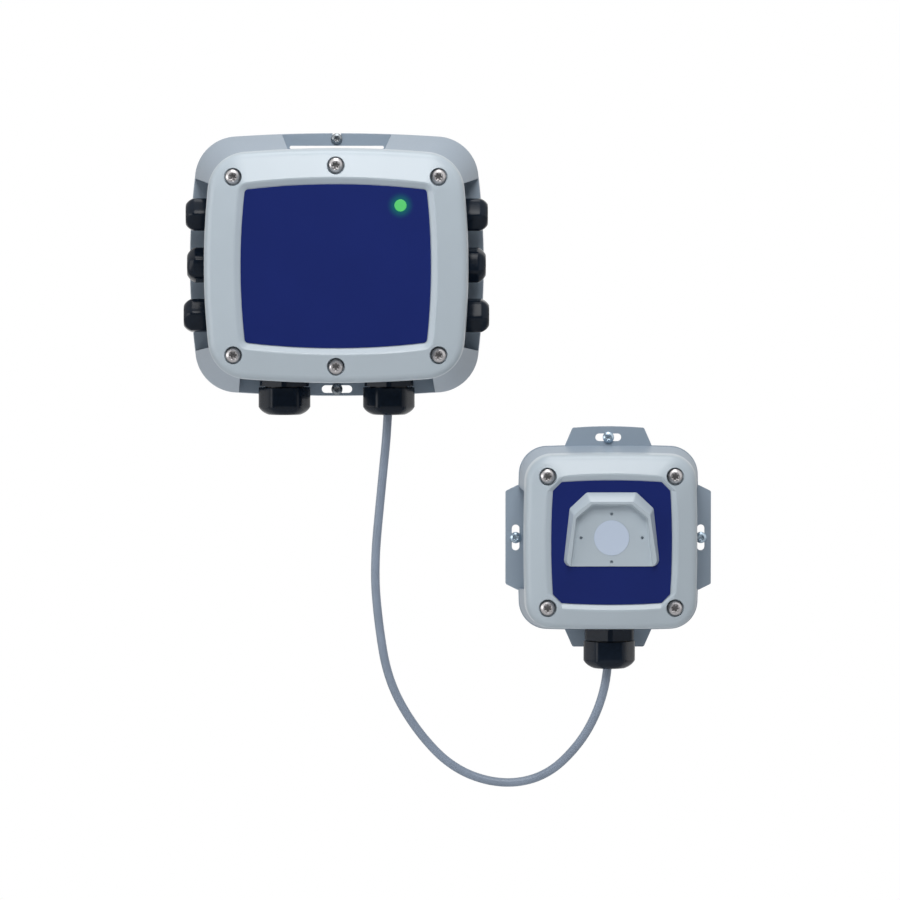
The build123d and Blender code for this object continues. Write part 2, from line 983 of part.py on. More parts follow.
def round_rim(body):
    """A cover whose front land rolls over into the bevel round the label seat."""
    land = body.faces().sort_by(Axis.Y)[0]
    return body.fillet(rim_round, land.inner_wires()[0].edges())


def lies_at(edge, depth):
    """Whether an edge's start, middle and end lie in the plane at a depth."""
    return all(abs((edge @ share).Y + depth) < press_clearance for share in (0, 1 / 2, 1))


def make_main_label():
    """Printed overlay in the cover's seat, with a window for the light pipe."""
    floor = main_depth - main_label_sink
    label = extrude(at_depth(floor) * main_label_outline.inset(label_gap).face(), label_thickness)
    return label - column(
        light_pipe_head_r + press_clearance,
        floor - overrun,
        floor + overrun,
        light_pipe_x,
        light_pipe_z,
    )


def led_top():
    """Depth of the status lamp's tip."""
    return main_board_depth + board_thickness + led_base_height + led_height


def make_light_pipe():
    """Clear light pipe from the lamp on the board to the front of the label."""
    floor = main_depth - main_label_sink
    inner_face = floor - cover_front_wall
    front = floor + label_thickness + light_pipe_proud
    head = column(light_pipe_head_r, inner_face, front)
    head = fillet(head.edges().group_by(Axis.Y)[0], light_pipe_proud)
    flange = column(light_pipe_flange_r, inner_face - light_pipe_flange_height, inner_face)
    stem = column(
        light_pipe_stem_r, led_top() + running_clearance, inner_face - light_pipe_flange_height
    )
    return Pos(light_pipe_x, 0, light_pipe_z) * (head + flange + stem)


# Circuit boards and what stands on them


def make_board(half_x, half_z, depth, hole_x, hole_z):
    """Board with rounded corners and four screw holes."""
    section = RectangleRounded(2 * half_x, 2 * half_z, board_corner)
    for x, z in mirrored_pairs(hole_x, hole_z):
        section -= Pos(x, z) * Circle(board_screw_r + running_clearance)
    return extrude(at_depth(depth) * section, board_thickness)


def board_screws(x, z, board_depth):
    """The four screws of a board."""
    blank = plain_screw(
        board_screw_head_r,
        board_screw_head_height,
        board_screw_r,
        board_thickness + board_screw_length - running_clearance,
    )
    return [seated(blank, px, pz, board_depth + board_thickness) for px, pz in mirrored_pairs(x, z)]


def terminal_row(poles):
    """Screw terminals along X on a board facing +Z, with the wire entries towards -Y."""
    length = poles * terminal_pitch
    block = slab(
        (-length / 2, -terminal_depth / 2, 0), (length / 2, terminal_depth / 2, terminal_height)
    )
    top_edge = block.edges().filter_by(Axis.X).group_by(Axis.Z)[-1].sort_by(Axis.Y)[0]
    block = chamfer(top_edge, terminal_depth / 4)
    for i in range(poles):
        x = (i - (poles - 1) / 2) * terminal_pitch
        entry = Pos(x, -terminal_depth / 2, terminal_entry_from_board) * Rot(90, 0, 0)
        block -= entry * Cylinder(terminal_entry_r, terminal_depth)
        block -= Pos(x, terminal_depth / 5, terminal_height) * Cylinder(
            terminal_screw_r, 2 * terminal_screw_sink
        )
    return block


def on_board(shape, x, z, depth, turn=0):
    """A piece made standing on +Z, set on a board's front face; turned about the viewing axis."""
    return facing_viewer(x, depth, z) * Rot(0, 0, turn) * shape


def main_board_front():
    """Depth of the main board's front face."""
    return main_board_depth + board_thickness


def on_main_board(shape, x_share, z_share):
    """A piece on the main board, at shares of the board's half width and half height."""
    x = x_share * main_board_half_width
    return on_board(shape, x, z_share * main_board_half_height, main_board_front())


def terminal_edge(half):
    """Distance from a board's middle to the middle of a terminal row at its edge."""
    return half - board_edge_gap - terminal_depth / 2


def make_relays():
    """Three alarm relays in a row."""
    blank = Pos(0, 0, relay_depth / 2) * Box(relay_width, relay_height, relay_depth)
    blank = chamfer(blank.faces().sort_by(Axis.Z)[-1].edges(), edge_round)
    blanks = [Pos(i * relay_pitch, 0, 0) * blank for i in range(3)]
    return [on_main_board(relay, relay_first_x_share, relay_z_share) for relay in blanks]


def make_relay_terminals():
    """Relay terminals along both sides of the board, facing the side glands."""
    row = terminal_row(relay_terminal_poles)
    reach = terminal_edge(main_board_half_width)
    drop = -relay_terminal_drop_share * main_board_half_height
    return [on_board(row, side * reach, drop, main_board_front(), side * 90) for side in (-1, 1)]


def make_lower_terminals(poles, x):
    """A row of terminals at the board's lower edge, facing the lower glands."""
    reach = -terminal_edge(main_board_half_height)
    return on_board(terminal_row(poles), x, reach, main_board_front())


def make_lamp():
    """Status lamp behind the light pipe."""
    base = Cylinder(led_base_r, led_base_height, align=(Align.CENTER, Align.CENTER, Align.MIN))
    bulb = Pos(0, 0, led_base_height) * Cylinder(
        led_r, led_height, align=(Align.CENTER, Align.CENTER, Align.MIN)
    )
    bulb = fillet(bulb.edges().group_by(Axis.Z)[-1], led_r * led_round_share)
    return on_board(base + bulb, light_pipe_x, light_pipe_z, main_board_front())


def chip(side_x, side_z, height):
    """Flat component with a bevelled top."""
    block = Pos(0, 0, height / 2) * Box(side_x, side_z, height)
    return chamfer(block.faces().sort_by(Axis.Z)[-1].edges(), height / 4)


def make_buzzer():
    """Round alarm sounder with its sound hole."""
    can = Cylinder(buzzer_r, buzzer_height, align=(Align.CENTER, Align.CENTER, Align.MIN))
    can = chamfer(can.edges().group_by(Axis.Z)[-1], edge_round)
    can -= Pos(0, 0, buzzer_height) * Cylinder(buzzer_hole_r, buzzer_height / 2)
    return on_main_board(can, buzzer_x_share, buzzer_z_share)


def make_capacitors():
    """Two supply capacitors."""
    can = Cylinder(capacitor_r, capacitor_height, align=(Align.CENTER, Align.CENTER, Align.MIN))
    can = fillet(can.edges().group_by(Axis.Z)[-1], edge_round)
    cans = [Pos(0, i * capacitor_pitch, 0) * can for i in range(2)]
    return [on_main_board(one, capacitor_x_share, capacitor_z_share) for one in cans]


# Remote sensor head, made about the middle of its own rear face


def end_ear(tip_z):
    """Fixing ear at the top end of the remote base, with a straight tip."""
    ear = Polygon(
        (end_ear_root_half, remote_half_height - remote_corner),
        (end_ear_root_half, remote_half_height),
        (end_ear_tip_half, tip_z),
        (-end_ear_tip_half, tip_z),
        (-end_ear_root_half, remote_half_height),
        (-end_ear_root_half, remote_half_height - remote_corner),
        align=None,
    )
    return fillet(ear.vertices().group_by(Axis.Y)[-1], ear_corner)


def top_ear():
    """The end ear with the shallow bow that the top one has over its tip."""
    start = (end_ear_tip_half - ear_corner, top_ear_z)
    end = (-end_ear_tip_half + ear_corner, top_ear_z)
    bow = ThreePointArc(start, (0, top_ear_z + top_ear_bow), end)
    return end_ear(top_ear_z) + make_face([bow, Line(end, start)])


def remote_flange():
    """Rear plate of the remote base with its four fixing ears."""
    plate = remote_rear.face()
    side_ear = Polygon(
        (0, -side_ear_root_half - remote_corner / 8),
        (side_ear_root_x, -side_ear_root_half),
        (side_ear_x, -side_ear_tip_half),
        (side_ear_x, side_ear_tip_half),
        (side_ear_root_x, side_ear_root_half),
        (0, side_ear_root_half + remote_corner / 8),
        align=None,
    )
    tips_x = side_ear.vertices().group_by(Axis.X)[-1]
    side_ear = fillet(tips_x, ear_corner)
    plate += top_ear() + Rot(0, 0, 180) * end_ear(lower_ear_z)
    return plate + side_ear + Rot(0, 0, 180) * side_ear


def remote_pockets():
    """The recesses of the remote base: both sides and the bottom."""
    sides = (
        (remote_side_wall_x, remote_side_recess_half, remote_side_recess_narrowing, 0),
        (remote_side_wall_x, remote_side_recess_half, remote_side_recess_narrowing, 180),
        (remote_end_wall_z, remote_bottom_recess_half, remote_bottom_recess_narrowing, 90),
    )
    return [
        pocket(at, half, narrowing, remote_base_depth, turn)
        for at, half, narrowing, turn in sides
    ]


def make_remote_base():
    """Rear moulding of the remote head: eared flange, tapered shell, box, bosses and posts."""
    body = skin(remote_rear, 0, remote_seam.inset(seam_step), remote_base_depth)
    for recess in remote_pockets():
        body -= recess
    body += extrude(at_depth(0) * remote_flange(), wall)
    body -= extrude(at_depth(wall) * remote_cavity(), remote_base_depth)
    for post in standoffs(remote_standoff_x, remote_standoff_z, remote_board_depth):
        body += post
    posts = mirrored_pairs(remote_standoff_x, remote_standoff_z)
    for hole in pilot_holes(posts, board_screw_r, board_screw_length, remote_board_depth):
        body -= hole
    screws = mirrored_pairs(remote_screw_x, remote_screw_z)
    for hole in pilot_holes(screws, cover_screw_r, cover_screw_grip + wall, remote_base_depth):
        body -= hole
    body -= remote_gland_place * Cylinder(
        lower_thread_r + thread_clearance, 2 * wall + overrun
    )
    for side in (-1, 1):
        body -= slot(remote_slot_length, remote_slot_height, 0, side * remote_end_slot_z)
        body -= slot(
            remote_slot_length, remote_slot_height, side * remote_side_slot_x, 0, 90
        )
    return body


def rounded_hood(outline, foot_corner):
    """The hood's outline with its corners rounded, those at its foot by a radius of their own."""
    foot = outline.vertices().group_by(Axis.Y)[0]
    rounded = fillet(foot, foot_corner)
    knees = rounded.vertices().group_by(Axis.Y)[-2:]
    return fillet([corner for level in knees for corner in level], hood_corner)


def hood_outline():
    """Foot of the hood on the label plane."""
    outline = Polygon(
        (hood_top_half, hood_top_z),
        (-hood_top_half, hood_top_z),
        (-hood_knee_half, hood_knee_z),
        (-hood_foot_half, hood_foot_z),
        (hood_foot_half, hood_foot_z),
        (hood_knee_half, hood_knee_z),
        align=None,
    )
    return rounded_hood(outline, hood_foot_corner)


def hood_mouth(grow, foot_z):
    """Mouth of the hood's recess, or its lip when grown."""
    outline = Polygon(
        (hood_inner_top_half + grow, hood_inner_top_z + grow),
        (-hood_inner_top_half - grow, hood_inner_top_z + grow),
        (-hood_inner_knee_half - grow, hood_inner_knee_z + grow),
        (-hood_inner_foot_half - grow, foot_z),
        (hood_inner_foot_half + grow, foot_z),
        (hood_inner_knee_half + grow, hood_inner_knee_z + grow),
        align=None,
    )
    return rounded_hood(outline, hood_foot_corner)


def make_hood():
    """Raised hood over the sensor: sloping outside, open foot, deeper at the top."""
    floor = remote_front_depth - remote_label_sink
    hood = loft(
        [
            at_depth(floor) * hood_outline(),
            at_depth(remote_depth) * hood_mouth(hood_lip, hood_foot_z),
        ],
        ruled=True,
    )
    slant = Plane(
        origin=(0, -hood_low_depth, hood_foot_z),
        x_dir=(1, 0, 0),
        z_dir=(0, hood_foot_z - hood_top_z, hood_low_depth - remote_depth),
    )
    hood -= extrude(slant * Rectangle(4 * hood_foot_half, 4 * hood_foot_half), remote_depth)
    return hood + extrude(at_depth(floor - remote_label_sink) * hood_outline(), remote_label_sink)


def hood_recess():
    """Space in the hood, open in front and at its foot, with a rounded floor edge."""
    space = extrude(
        at_depth(hood_floor_depth) * hood_mouth(0, hood_foot_z - overrun), remote_depth
    )
    return fillet(space.edges().group_by(Axis.Y)[-1], hood_floor_round)


def make_remote_cover():
    """Front moulding of the remote head: pillowed frame, label seat, hood and sensor port."""
    shoulder = remote_seam.inset(remote_draft)
    body = skin(remote_seam, remote_base_depth, shoulder, remote_shoulder_depth)
    body += skin(shoulder, remote_shoulder_depth, remote_land, remote_front_depth)
    edges = [e for e in body.edges() if lies_at(e, remote_shoulder_depth)]
    body = fillet(edges, remote_shoulder_round)
    floor = remote_front_depth - remote_label_sink
    body -= skin(remote_label_outline, floor, remote_rim, remote_front_depth)
    body += make_hood()
    body -= hood_recess()
    cavity = remote_cavity()
    inner_face = floor - cover_front_wall
    body -= extrude(at_depth(remote_base_depth) * cavity, inner_face - remote_base_depth)
    body -= extrude(at_depth(remote_base_depth) * seal_ring(cavity), seal_height)
    for x, z in mirrored_pairs(remote_screw_x, remote_screw_z):
        body -= column(counterbore_r, remote_counterbore_depth, remote_depth, x, z)
        body -= column(
            cover_screw_r + running_clearance, remote_base_depth, remote_counterbore_depth, x, z
        )
    body -= column(sensor_port_r, inner_face - overrun, remote_depth, 0, sensor_z)
    body -= column(
        membrane_r + press_clearance,
        hood_floor_depth - membrane_sink,
        remote_depth,
        0,
        sensor_z,
    )
    for x, z in ((0, pin_hole_z), (0, -pin_hole_z), (pin_hole_x, 0), (-pin_hole_x, 0)):
        body -= column(
            pin_hole_r, hood_floor_depth - pin_hole_depth, remote_depth, x, sensor_z + z
        )
    return body


def make_remote_label():
    """Printed overlay round the hood."""
    floor = remote_front_depth - remote_label_sink
    label = extrude(at_depth(floor) * remote_label_outline.inset(label_gap).face(), label_thickness)
    return label - make_hood()


def make_membrane():
    """Porous filter disc over the sensor port."""
    start = hood_floor_depth - membrane_sink
    return column(membrane_r, start, start + membrane_thickness, 0, sensor_z)


def remote_board_front():
    """Depth of the remote board's front face."""
    return remote_board_depth + board_thickness


def sensor_gasket_depth():
    """Depth of the sensor gasket's rear face."""
    return remote_front_depth - remote_label_sink - cover_front_wall - sensor_gasket_thickness


def make_sensor_gasket():
    """Soft ring between the sensor cell and the cover."""
    ring = column(
        sensor_cell_r,
        sensor_gasket_depth(),
        sensor_gasket_depth() + sensor_gasket_thickness,
        0,
        sensor_z,
    )
    return ring - column(
        sensor_port_r, sensor_gasket_depth() - overrun, remote_depth, 0, sensor_z
    )


def make_sensor_socket():
    """Round socket that carries the sensor cell on the board."""
    ring = column(
        sensor_socket_r,
        remote_board_front(),
        remote_board_front() + sensor_socket_height,
        0,
        sensor_z,
    )
    return ring - column(
        sensor_cell_r + press_clearance,
        remote_board_front() + sensor_socket_height / 4,
        remote_depth,
        0,
        sensor_z,
    )


def make_sensor_cell():
    """Gas sensor cell between its socket and the gasket."""
    start = remote_board_front() + sensor_socket_height / 4
    cell = column(sensor_cell_r, start, sensor_gasket_depth(), 0, sensor_z)
    mouth = column(
        sensor_port_r * cell_mouth_share,
        sensor_gasket_depth() - edge_round,
        remote_depth,
        0,
        sensor_z,
    )
    return cell - mouth


# Cable and its cores


def bend_radii(points):
    """Radius at each inner point of a route, as large as its two runs allow."""
    radii = []
    for a, b, c in zip(points, points[1:], points[2:]):
        before = Vector(*b) - Vector(*a)
        after = Vector(*c) - Vector(*b)
        turn = radians(before.get_angle(after))
        radii.append(bend_share * min(before.length, after.length) / tan(turn / 2))
    return radii


def make_cable():
    """Cable jacket from inside one housing to inside the other."""
    radii = bend_radii(cable_points)
    path = FilletPolyline(*cable_points, radius=radii)
    section = Plane(origin=path @ 0, z_dir=path % 0) * Circle(cable_r)
    tube = sweep(section, path=path)
    print("cable bend radii", [round(r, 1) for r in radii])
    print("cable length", round(path.length, 1))
    print("cable volume over section times length", tube.volume / (section.area * path.length))
    return tube


def make_core(points):
    """One insulated core along a route with equal bends."""
    path = FilletPolyline(*points, radius=core_bend_r)
    return sweep(Plane(origin=path @ 0, z_dir=path % 0) * Circle(core_r), path=path)


def core_starts():
    """Places of the four cores round the cable's axis."""
    return [(sx * core_spread, sy * core_spread) for sx, sy in ((-1, -1), (-1, 1), (1, -1), (1, 1))]


def terminal_mouth_x(pole, poles):
    """Offset of one terminal entry from the middle of its row."""
    return (pole - (poles - 1) / 2) * terminal_pitch


def make_main_cores():
    """Cores from the cable's end up to the sensor terminals of the main board."""
    entry_z = -main_board_half_height + board_edge_gap + core_spread
    entry_y = -main_board_front() - terminal_entry_from_board
    cores = []
    for pole, (dx, dy) in enumerate(core_starts()):
        x = lower_gland_x + dx
        y = -lower_gland_depth + dy
        goal = lower_terminal_x + terminal_mouth_x(pole, sensor_terminal_poles)
        cores.append(
            make_core(
                (
                    (x, y, main_jacket_end_z),
                    (x, y, main_jacket_end_z + core_lead),
                    (goal, entry_y, entry_z - core_lead),
                    (goal, entry_y, entry_z),
                )
            )
        )
    return cores


def make_remote_cores():
    """Cores from the cable's end round the remote board's lower edge to its terminals."""
    entry_z = -remote_board_half_height + board_edge_gap + core_spread
    entry_y = -remote_board_front() - terminal_entry_from_board
    start_z = remote_jacket_end_z - remote_z
    cores = []
    for pole, (dx, dy) in enumerate(core_starts()):
        y = -remote_gland_depth + dy
        goal = terminal_mouth_x(pole, sensor_terminal_poles)
        cores.append(
            make_core(
                (
                    (dx, y, start_z),
                    (dx, y, start_z + core_lead),
                    (goal, entry_y, entry_z - core_lead),
                    (goal, entry_y, entry_z),
                )
            )
        )
    return cores


# Write every node

cover_screw_main = plain_screw(
    cover_screw_head_r,
    cover_screw_head_height,
    cover_screw_r,
    main_counterbore_depth - main_base_depth + cover_screw_grip,
)
cover_screw_remote = plain_screw(
    cover_screw_head_r,
    cover_screw_head_height,
    cover_screw_r,
    remote_counterbore_depth - remote_base_depth + cover_screw_grip,
)

save("main_base", make_main_base())
save("main_cover", make_main_cover())
save("main_cover_seal", extrude(at_depth(main_base_depth) * seal_ring(main_cavity()), seal_height))
save(
    "main_cover_screws",
    *[seated(cover_screw_main, x, z, main_counterbore_depth) for x, z in main_screw_places()],
)
save("main_front_label", make_main_label())
save("status_light_pipe", make_light_pipe())
save(
    "main_circuit_board",
    make_board(
        main_board_half_width,
        main_board_half_height,
        main_board_depth,
        main_standoff_x,
        main_standoff_z,
    ),
)
save("main_board_screws", *board_screws(main_standoff_x, main_standoff_z, main_board_depth))
save("status_lamp", make_lamp())
save("alarm_relays", *make_relays())
save("relay_terminals", *make_relay_terminals())
save("power_terminals", make_lower_terminals(power_terminal_poles, -lower_terminal_x))
save("sensor_terminals", make_lower_terminals(sensor_terminal_poles, lower_terminal_x))
save(
    "processor_chip",
    on_main_board(
        chip(processor_side, processor_side, processor_height),
        processor_x_share,
        processor_z_share,
    ),
)
save(
    "radio_module",
    on_main_board(chip(radio_width, radio_height, radio_depth), radio_x_share, radio_z_share),
)
save("alarm_sounder", make_buzzer())
save("supply_capacitors", *make_capacitors())

side_places = side_gland_places()
side_plug_r = side_mouth_r * plug_r_share
save("side_gland_bodies", *[place * side_gland.body() for place, _, _ in side_places])
save("side_gland_washers", *[place * side_gland.washer() for place, _, _ in side_places])
save("side_gland_locknuts", *[place * side_gland.locknut() for place, _, _ in side_places])
save(
    "side_gland_nuts",
    *[place * Rot(0, 0, turn) * side_gland.nut(reach) for place, reach, turn in side_places],
)
save(
    "side_gland_inserts",
    *[place * side_gland.insert(reach, side_plug_r) for place, reach, _ in side_places],
)
save(
    "side_gland_plugs",
    *[place * side_gland.plug(reach, side_plug_r) for place, reach, _ in side_places],
)

lower_places = (left_lower_place, right_lower_place)
lower_plug_r = lower_mouth_r * plug_r_share
save("lower_gland_bodies", *[place * lower_gland.body() for place in lower_places])
save("lower_gland_washers", *[place * lower_gland.washer() for place in lower_places])
save("lower_gland_locknuts", *[place * lower_gland.locknut() for place in lower_places])
save(
    "lower_gland_nuts",
    *[
        place * Rot(0, 0, turn) * lower_gland.nut(lower_nut_reach)
        for place, turn in zip(lower_places, lower_nut_turns)
    ],
)
save("spare_gland_insert", left_lower_place * lower_gland.insert(lower_nut_reach, lower_plug_r))
save("spare_gland_plug", left_lower_place * lower_gland.plug(lower_nut_reach, lower_plug_r))
save("cable_gland_insert", right_lower_place * lower_gland.insert(lower_nut_reach, cable_r))
save(
    "main_wall_screws",
    on_flange(0, notch_z) * wall_screw(),
    on_flange(0, main_slot_z) * wall_screw(),
)

save("remote_base", at_remote(make_remote_base()))
save("remote_cover", at_remote(make_remote_cover()))
save(
    "remote_cover_seal",
    at_remote(extrude(at_depth(remote_base_depth) * seal_ring(remote_cavity()), seal_height)),
)
save(
    "remote_cover_screws",
    *[
        at_remote(seated(cover_screw_remote, x, z, remote_counterbore_depth))
        for x, z in mirrored_pairs(remote_screw_x, remote_screw_z)
    ],
)
save("remote_front_label", at_remote(make_remote_label()))
save("sensor_membrane", at_remote(make_membrane()))
save("sensor_gasket", at_remote(make_sensor_gasket()))
save("sensor_cell", at_remote(make_sensor_cell()))
save("sensor_socket", at_remote(make_sensor_socket()))
save(
    "remote_circuit_board",
    at_remote(
        make_board(
            remote_board_half_width,
            remote_board_half_height,
            remote_board_depth,
            remote_standoff_x,
            remote_standoff_z,
        )
    ),
)
save(
    "remote_board_screws",
    *[at_remote(s) for s in board_screws(remote_standoff_x, remote_standoff_z, remote_board_depth)],
)
save(
    "remote_terminals",
    at_remote(
        on_board(
            terminal_row(sensor_terminal_poles),
            0,
            -terminal_edge(remote_board_half_height),
            remote_board_front(),
        )
    ),
)
save(
    "remote_chip",
    at_remote(
        on_board(
            chip(remote_chip_side, remote_chip_side, remote_chip_height),
            remote_chip_x_share * remote_board_half_width,
            remote_chip_z_share * remote_board_half_height,
            remote_board_front(),
        )
    ),
)
save("remote_gland_body", at_remote(remote_gland_place * lower_gland.body()))
save("remote_gland_washer", at_remote(remote_gland_place * lower_gland.washer()))
save("remote_gland_locknut", at_remote(remote_gland_place * lower_gland.locknut()))
save(
    "remote_gland_nut",
    at_remote(remote_gland_place * Rot(0, 0, remote_nut_turn) * lower_gland.nut(lower_nut_reach)),
)
save(
    "remote_gland_insert",
    at_remote(remote_gland_place * lower_gland.insert(lower_nut_reach, cable_r)),
)
save(
    "remote_wall_screws",
    at_remote(on_flange(0, remote_end_slot_z) * wall_screw()),
    at_remote(on_flange(-remote_side_slot_x, 0) * wall_screw()),
    at_remote(on_flange(remote_side_slot_x, 0) * wall_screw()),
)

save("sensor_cable", make_cable())
save("main_cable_cores", *make_main_cores())
save("remote_cable_cores", *[at_remote(core) for core in make_remote_cores()])
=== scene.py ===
import json
import logging
import math
from dataclasses import dataclass
from enum import Enum
from typing import Any, Callable, Sequence

import bmesh
import bpy
from mathutils import Matrix, Vector


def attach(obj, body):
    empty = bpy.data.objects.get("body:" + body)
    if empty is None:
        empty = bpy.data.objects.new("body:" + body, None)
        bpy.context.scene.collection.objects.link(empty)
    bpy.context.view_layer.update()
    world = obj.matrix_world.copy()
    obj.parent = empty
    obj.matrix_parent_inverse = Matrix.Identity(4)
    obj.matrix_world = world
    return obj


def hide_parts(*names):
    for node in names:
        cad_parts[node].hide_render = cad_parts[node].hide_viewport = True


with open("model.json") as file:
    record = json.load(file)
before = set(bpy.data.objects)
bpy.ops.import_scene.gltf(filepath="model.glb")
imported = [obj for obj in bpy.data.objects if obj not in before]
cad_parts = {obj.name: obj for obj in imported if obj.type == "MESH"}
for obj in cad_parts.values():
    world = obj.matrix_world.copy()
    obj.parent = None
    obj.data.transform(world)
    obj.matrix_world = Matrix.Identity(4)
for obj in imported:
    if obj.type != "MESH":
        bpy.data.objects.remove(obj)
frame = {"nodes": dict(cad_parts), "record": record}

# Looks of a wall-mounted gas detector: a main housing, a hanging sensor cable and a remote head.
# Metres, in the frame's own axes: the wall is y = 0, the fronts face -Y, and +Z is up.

log = logging.getLogger("gas_detector")
MM = 0.001
BODY = "root"
SLOTS = {s["node"]: s["material_slot"] for s in frame["record"]["subparts"]}
SHARP_DEG = 32.0
# A noise gives values from 0 to 1, and most of them lie in this span.
NOISE_SPAN = {"From Min": 0.3, "From Max": 0.7}
# A ring's radius: one size, or a function from the angle to it.
Radius = float | Callable[[float], float]


class Facing(Enum):
    """The directions that pieces are made towards, as the axis their own +Z takes."""

    VIEWER = (0.0, -1.0, 0.0)
    LEFT = (-1.0, 0.0, 0.0)
    RIGHT = (1.0, 0.0, 0.0)
    DOWN = (0.0, 0.0, -1.0)

    def turn(self, spin: float) -> Matrix:
        """Rotation that carries local +Z to this direction after a spin about it.

        Args:
            spin: angle about the piece's own axis, in degrees.

        Returns:
            The rotation as a 4x4 matrix.
        """
        z = Vector(self.value)
        x = Vector((1, 0, 0)) if self is Facing.VIEWER else Vector((0, -1, 0))
        y = z.cross(x)
        base = Matrix((x, y, z)).transposed().to_4x4()
        return base @ Matrix.Rotation(math.radians(spin), 4, "Z")

    def at(self, x: float, y: float, z: float, spin: float) -> Matrix:
        """Place of a piece that faces this way.

        Args:
            x: the place of its origin, across, in millimetres.
            y: the same towards the wall.
            z: the same upwards.
            spin: angle about the piece's own axis, in degrees.

        Returns:
            The place as a 4x4 matrix in metres.
        """
        return Matrix.Translation(Vector((x, y, z)) * MM) @ self.turn(spin)


# Places in millimetres, for the pieces that are made here
# Those of the main housing are in the frame's axes. The head's screws are set from its middle.

FLANGE = 3.0
MAIN_SEAT_DEPTH = 76.6
MAIN_SCREW_X = 60.2
MAIN_SCREW_Z = 52.2
MAIN_MIDDLE_SCREW_Z = 58.9
NOTCH_SCREW_Z = 75.2
SLOT_SCREW_Z = -74.6
HEAD_X = 162.8
HEAD_Z = -163.8
HEAD_SEAT_DEPTH = 50.0
HEAD_SCREW_X = 37.7
HEAD_SCREW_Z = 39.0
TOP_EAR_REACH = 60.2
SIDE_EAR_REACH = 55.6
COVER_HEAD_HEIGHT = 3.0
WALL_HEAD_HEIGHT = 2.4
MAIN_GLAND_Y = -24.0
SIDE_GLAND_Z = (30.0, 0.0, -30.0)
SIDE_NUT_ENDS = {Facing.LEFT: (-89.6, -88.8, -90.9), Facing.RIGHT: (90.0, 88.8, 90.8)}
SIDE_NUT_SPINS = (2.0, 20.0, 8.0)
LOWER_GLAND_X = 31.1
LOWER_NUT_END = -89.0
HEAD_GLAND_Y = -20.0
HEAD_NUT_END = -240.8
LIGHT_PIPE_AT = (37.9, -79.7, 35.5)


# Colours and shader nodes


def linear(hex_colour: str) -> tuple[float, float, float, float]:
    """Turns an sRGB hex colour into a linear one.

    Args:
        hex_colour: six hex digits, such as "B4C0CA".

    Returns:
        Red, green, blue and an alpha of 1.
    """
    parts = [int(hex_colour[i:i + 2], 16) / 255 for i in (0, 2, 4)]
    r, g, b = [c / 12.92 if c <= 0.04045 else ((c + 0.055) / 1.055) ** 2.4 for c in parts]
    return r, g, b, 1.0


def add_node(
    tree: bpy.types.NodeTree,
    kind: str,
    settings: dict[str, Any] | None = None,
    inputs: dict[str | int, Any] | None = None,
) -> bpy.types.Node:
    """Adds one node with its settings and links.

    Args:
        tree: the tree that gets the node.
        kind: the node's type name.
        settings: attributes of the node.
        inputs: sockets by name or index, each with a value or the output socket that feeds it.

    Returns:
        The new node.
    """
    node = tree.nodes.new(kind)
    for name, value in (settings or {}).items():
        setattr(node, name, value)
    for name, value in (inputs or {}).items():
        if isinstance(value, bpy.types.NodeSocket):
            tree.links.new(value, node.inputs[name])
        else:
            node.inputs[name].default_value = value
    return node


def grain(tree: bpy.types.NodeTree, size_mm: float, detail: float = 2.0) -> bpy.types.NodeSocket:
    """Noise on object coordinates whose lumps have a real size.

    Args:
        tree: the material's tree.
        size_mm: size of a lump in millimetres.
        detail: octaves of the noise.

    Returns:
        The noise's value, from 0 to 1.
    """
    place = add_node(tree, "ShaderNodeTexCoord").outputs["Object"]
    sockets = {"Vector": place, "Scale": 1 / (size_mm * MM), "Detail": detail}
    return add_node(tree, "ShaderNodeTexNoise", inputs=sockets).outputs[0]


def shaded(
    tree: bpy.types.NodeTree, colour: str, value: bpy.types.NodeSocket, swing: float
) -> bpy.types.NodeSocket:
    """A colour that gets slightly darker and lighter with a noise.

    Args:
        tree: the material's tree.
        colour: sRGB hex of the colour.
        value: the noise's value.
        swing: share by which the brightness goes down and up.

    Returns:
        The colour.
    """
    gain = add_node(
        tree,
        "ShaderNodeMapRange",
        inputs={"Value": value, **NOISE_SPAN, "To Min": 1 - swing, "To Max": 1 + swing},
    ).outputs["Result"]
    return add_node(
        tree,
        "ShaderNodeVectorMath",
        {"operation": "SCALE"},
        {0: linear(colour)[:3], "Scale": gain},
    ).outputs["Vector"]


def finish_surface(
    tree: bpy.types.NodeTree,
    inputs: dict[str, Any],
    rough: tuple[bpy.types.NodeSocket, float, float] | None = None,
    relief: tuple[bpy.types.NodeSocket, float] | None = None,
) -> None:
    """Adds the surface shader and the output.

    Args:
        tree: the material's tree.
        inputs: the shader's sockets, apart from those that the two patterns feed.
        rough: a noise, with the roughness where it is low and where it is high.
        relief: a height pattern, with its depth in millimetres.
    """
    sockets = dict(inputs)
    if rough:
        pattern, low, high = rough
        sockets["Roughness"] = add_node(
            tree,
            "ShaderNodeMapRange",
            inputs={"Value": pattern, **NOISE_SPAN, "To Min": low, "To Max": high},
        ).outputs["Result"]
    if relief:
        height, depth_mm = relief
        sockets["Normal"] = add_node(
            tree,
            "ShaderNodeBump",
            inputs={"Height": height, "Distance": depth_mm * MM, "Strength": 1.0},
        ).outputs["Normal"]
    surface = add_node(tree, "ShaderNodeBsdfPrincipled", inputs=sockets)
    add_node(tree, "ShaderNodeOutputMaterial", inputs={"Surface": surface.outputs["BSDF"]})


# Finishes


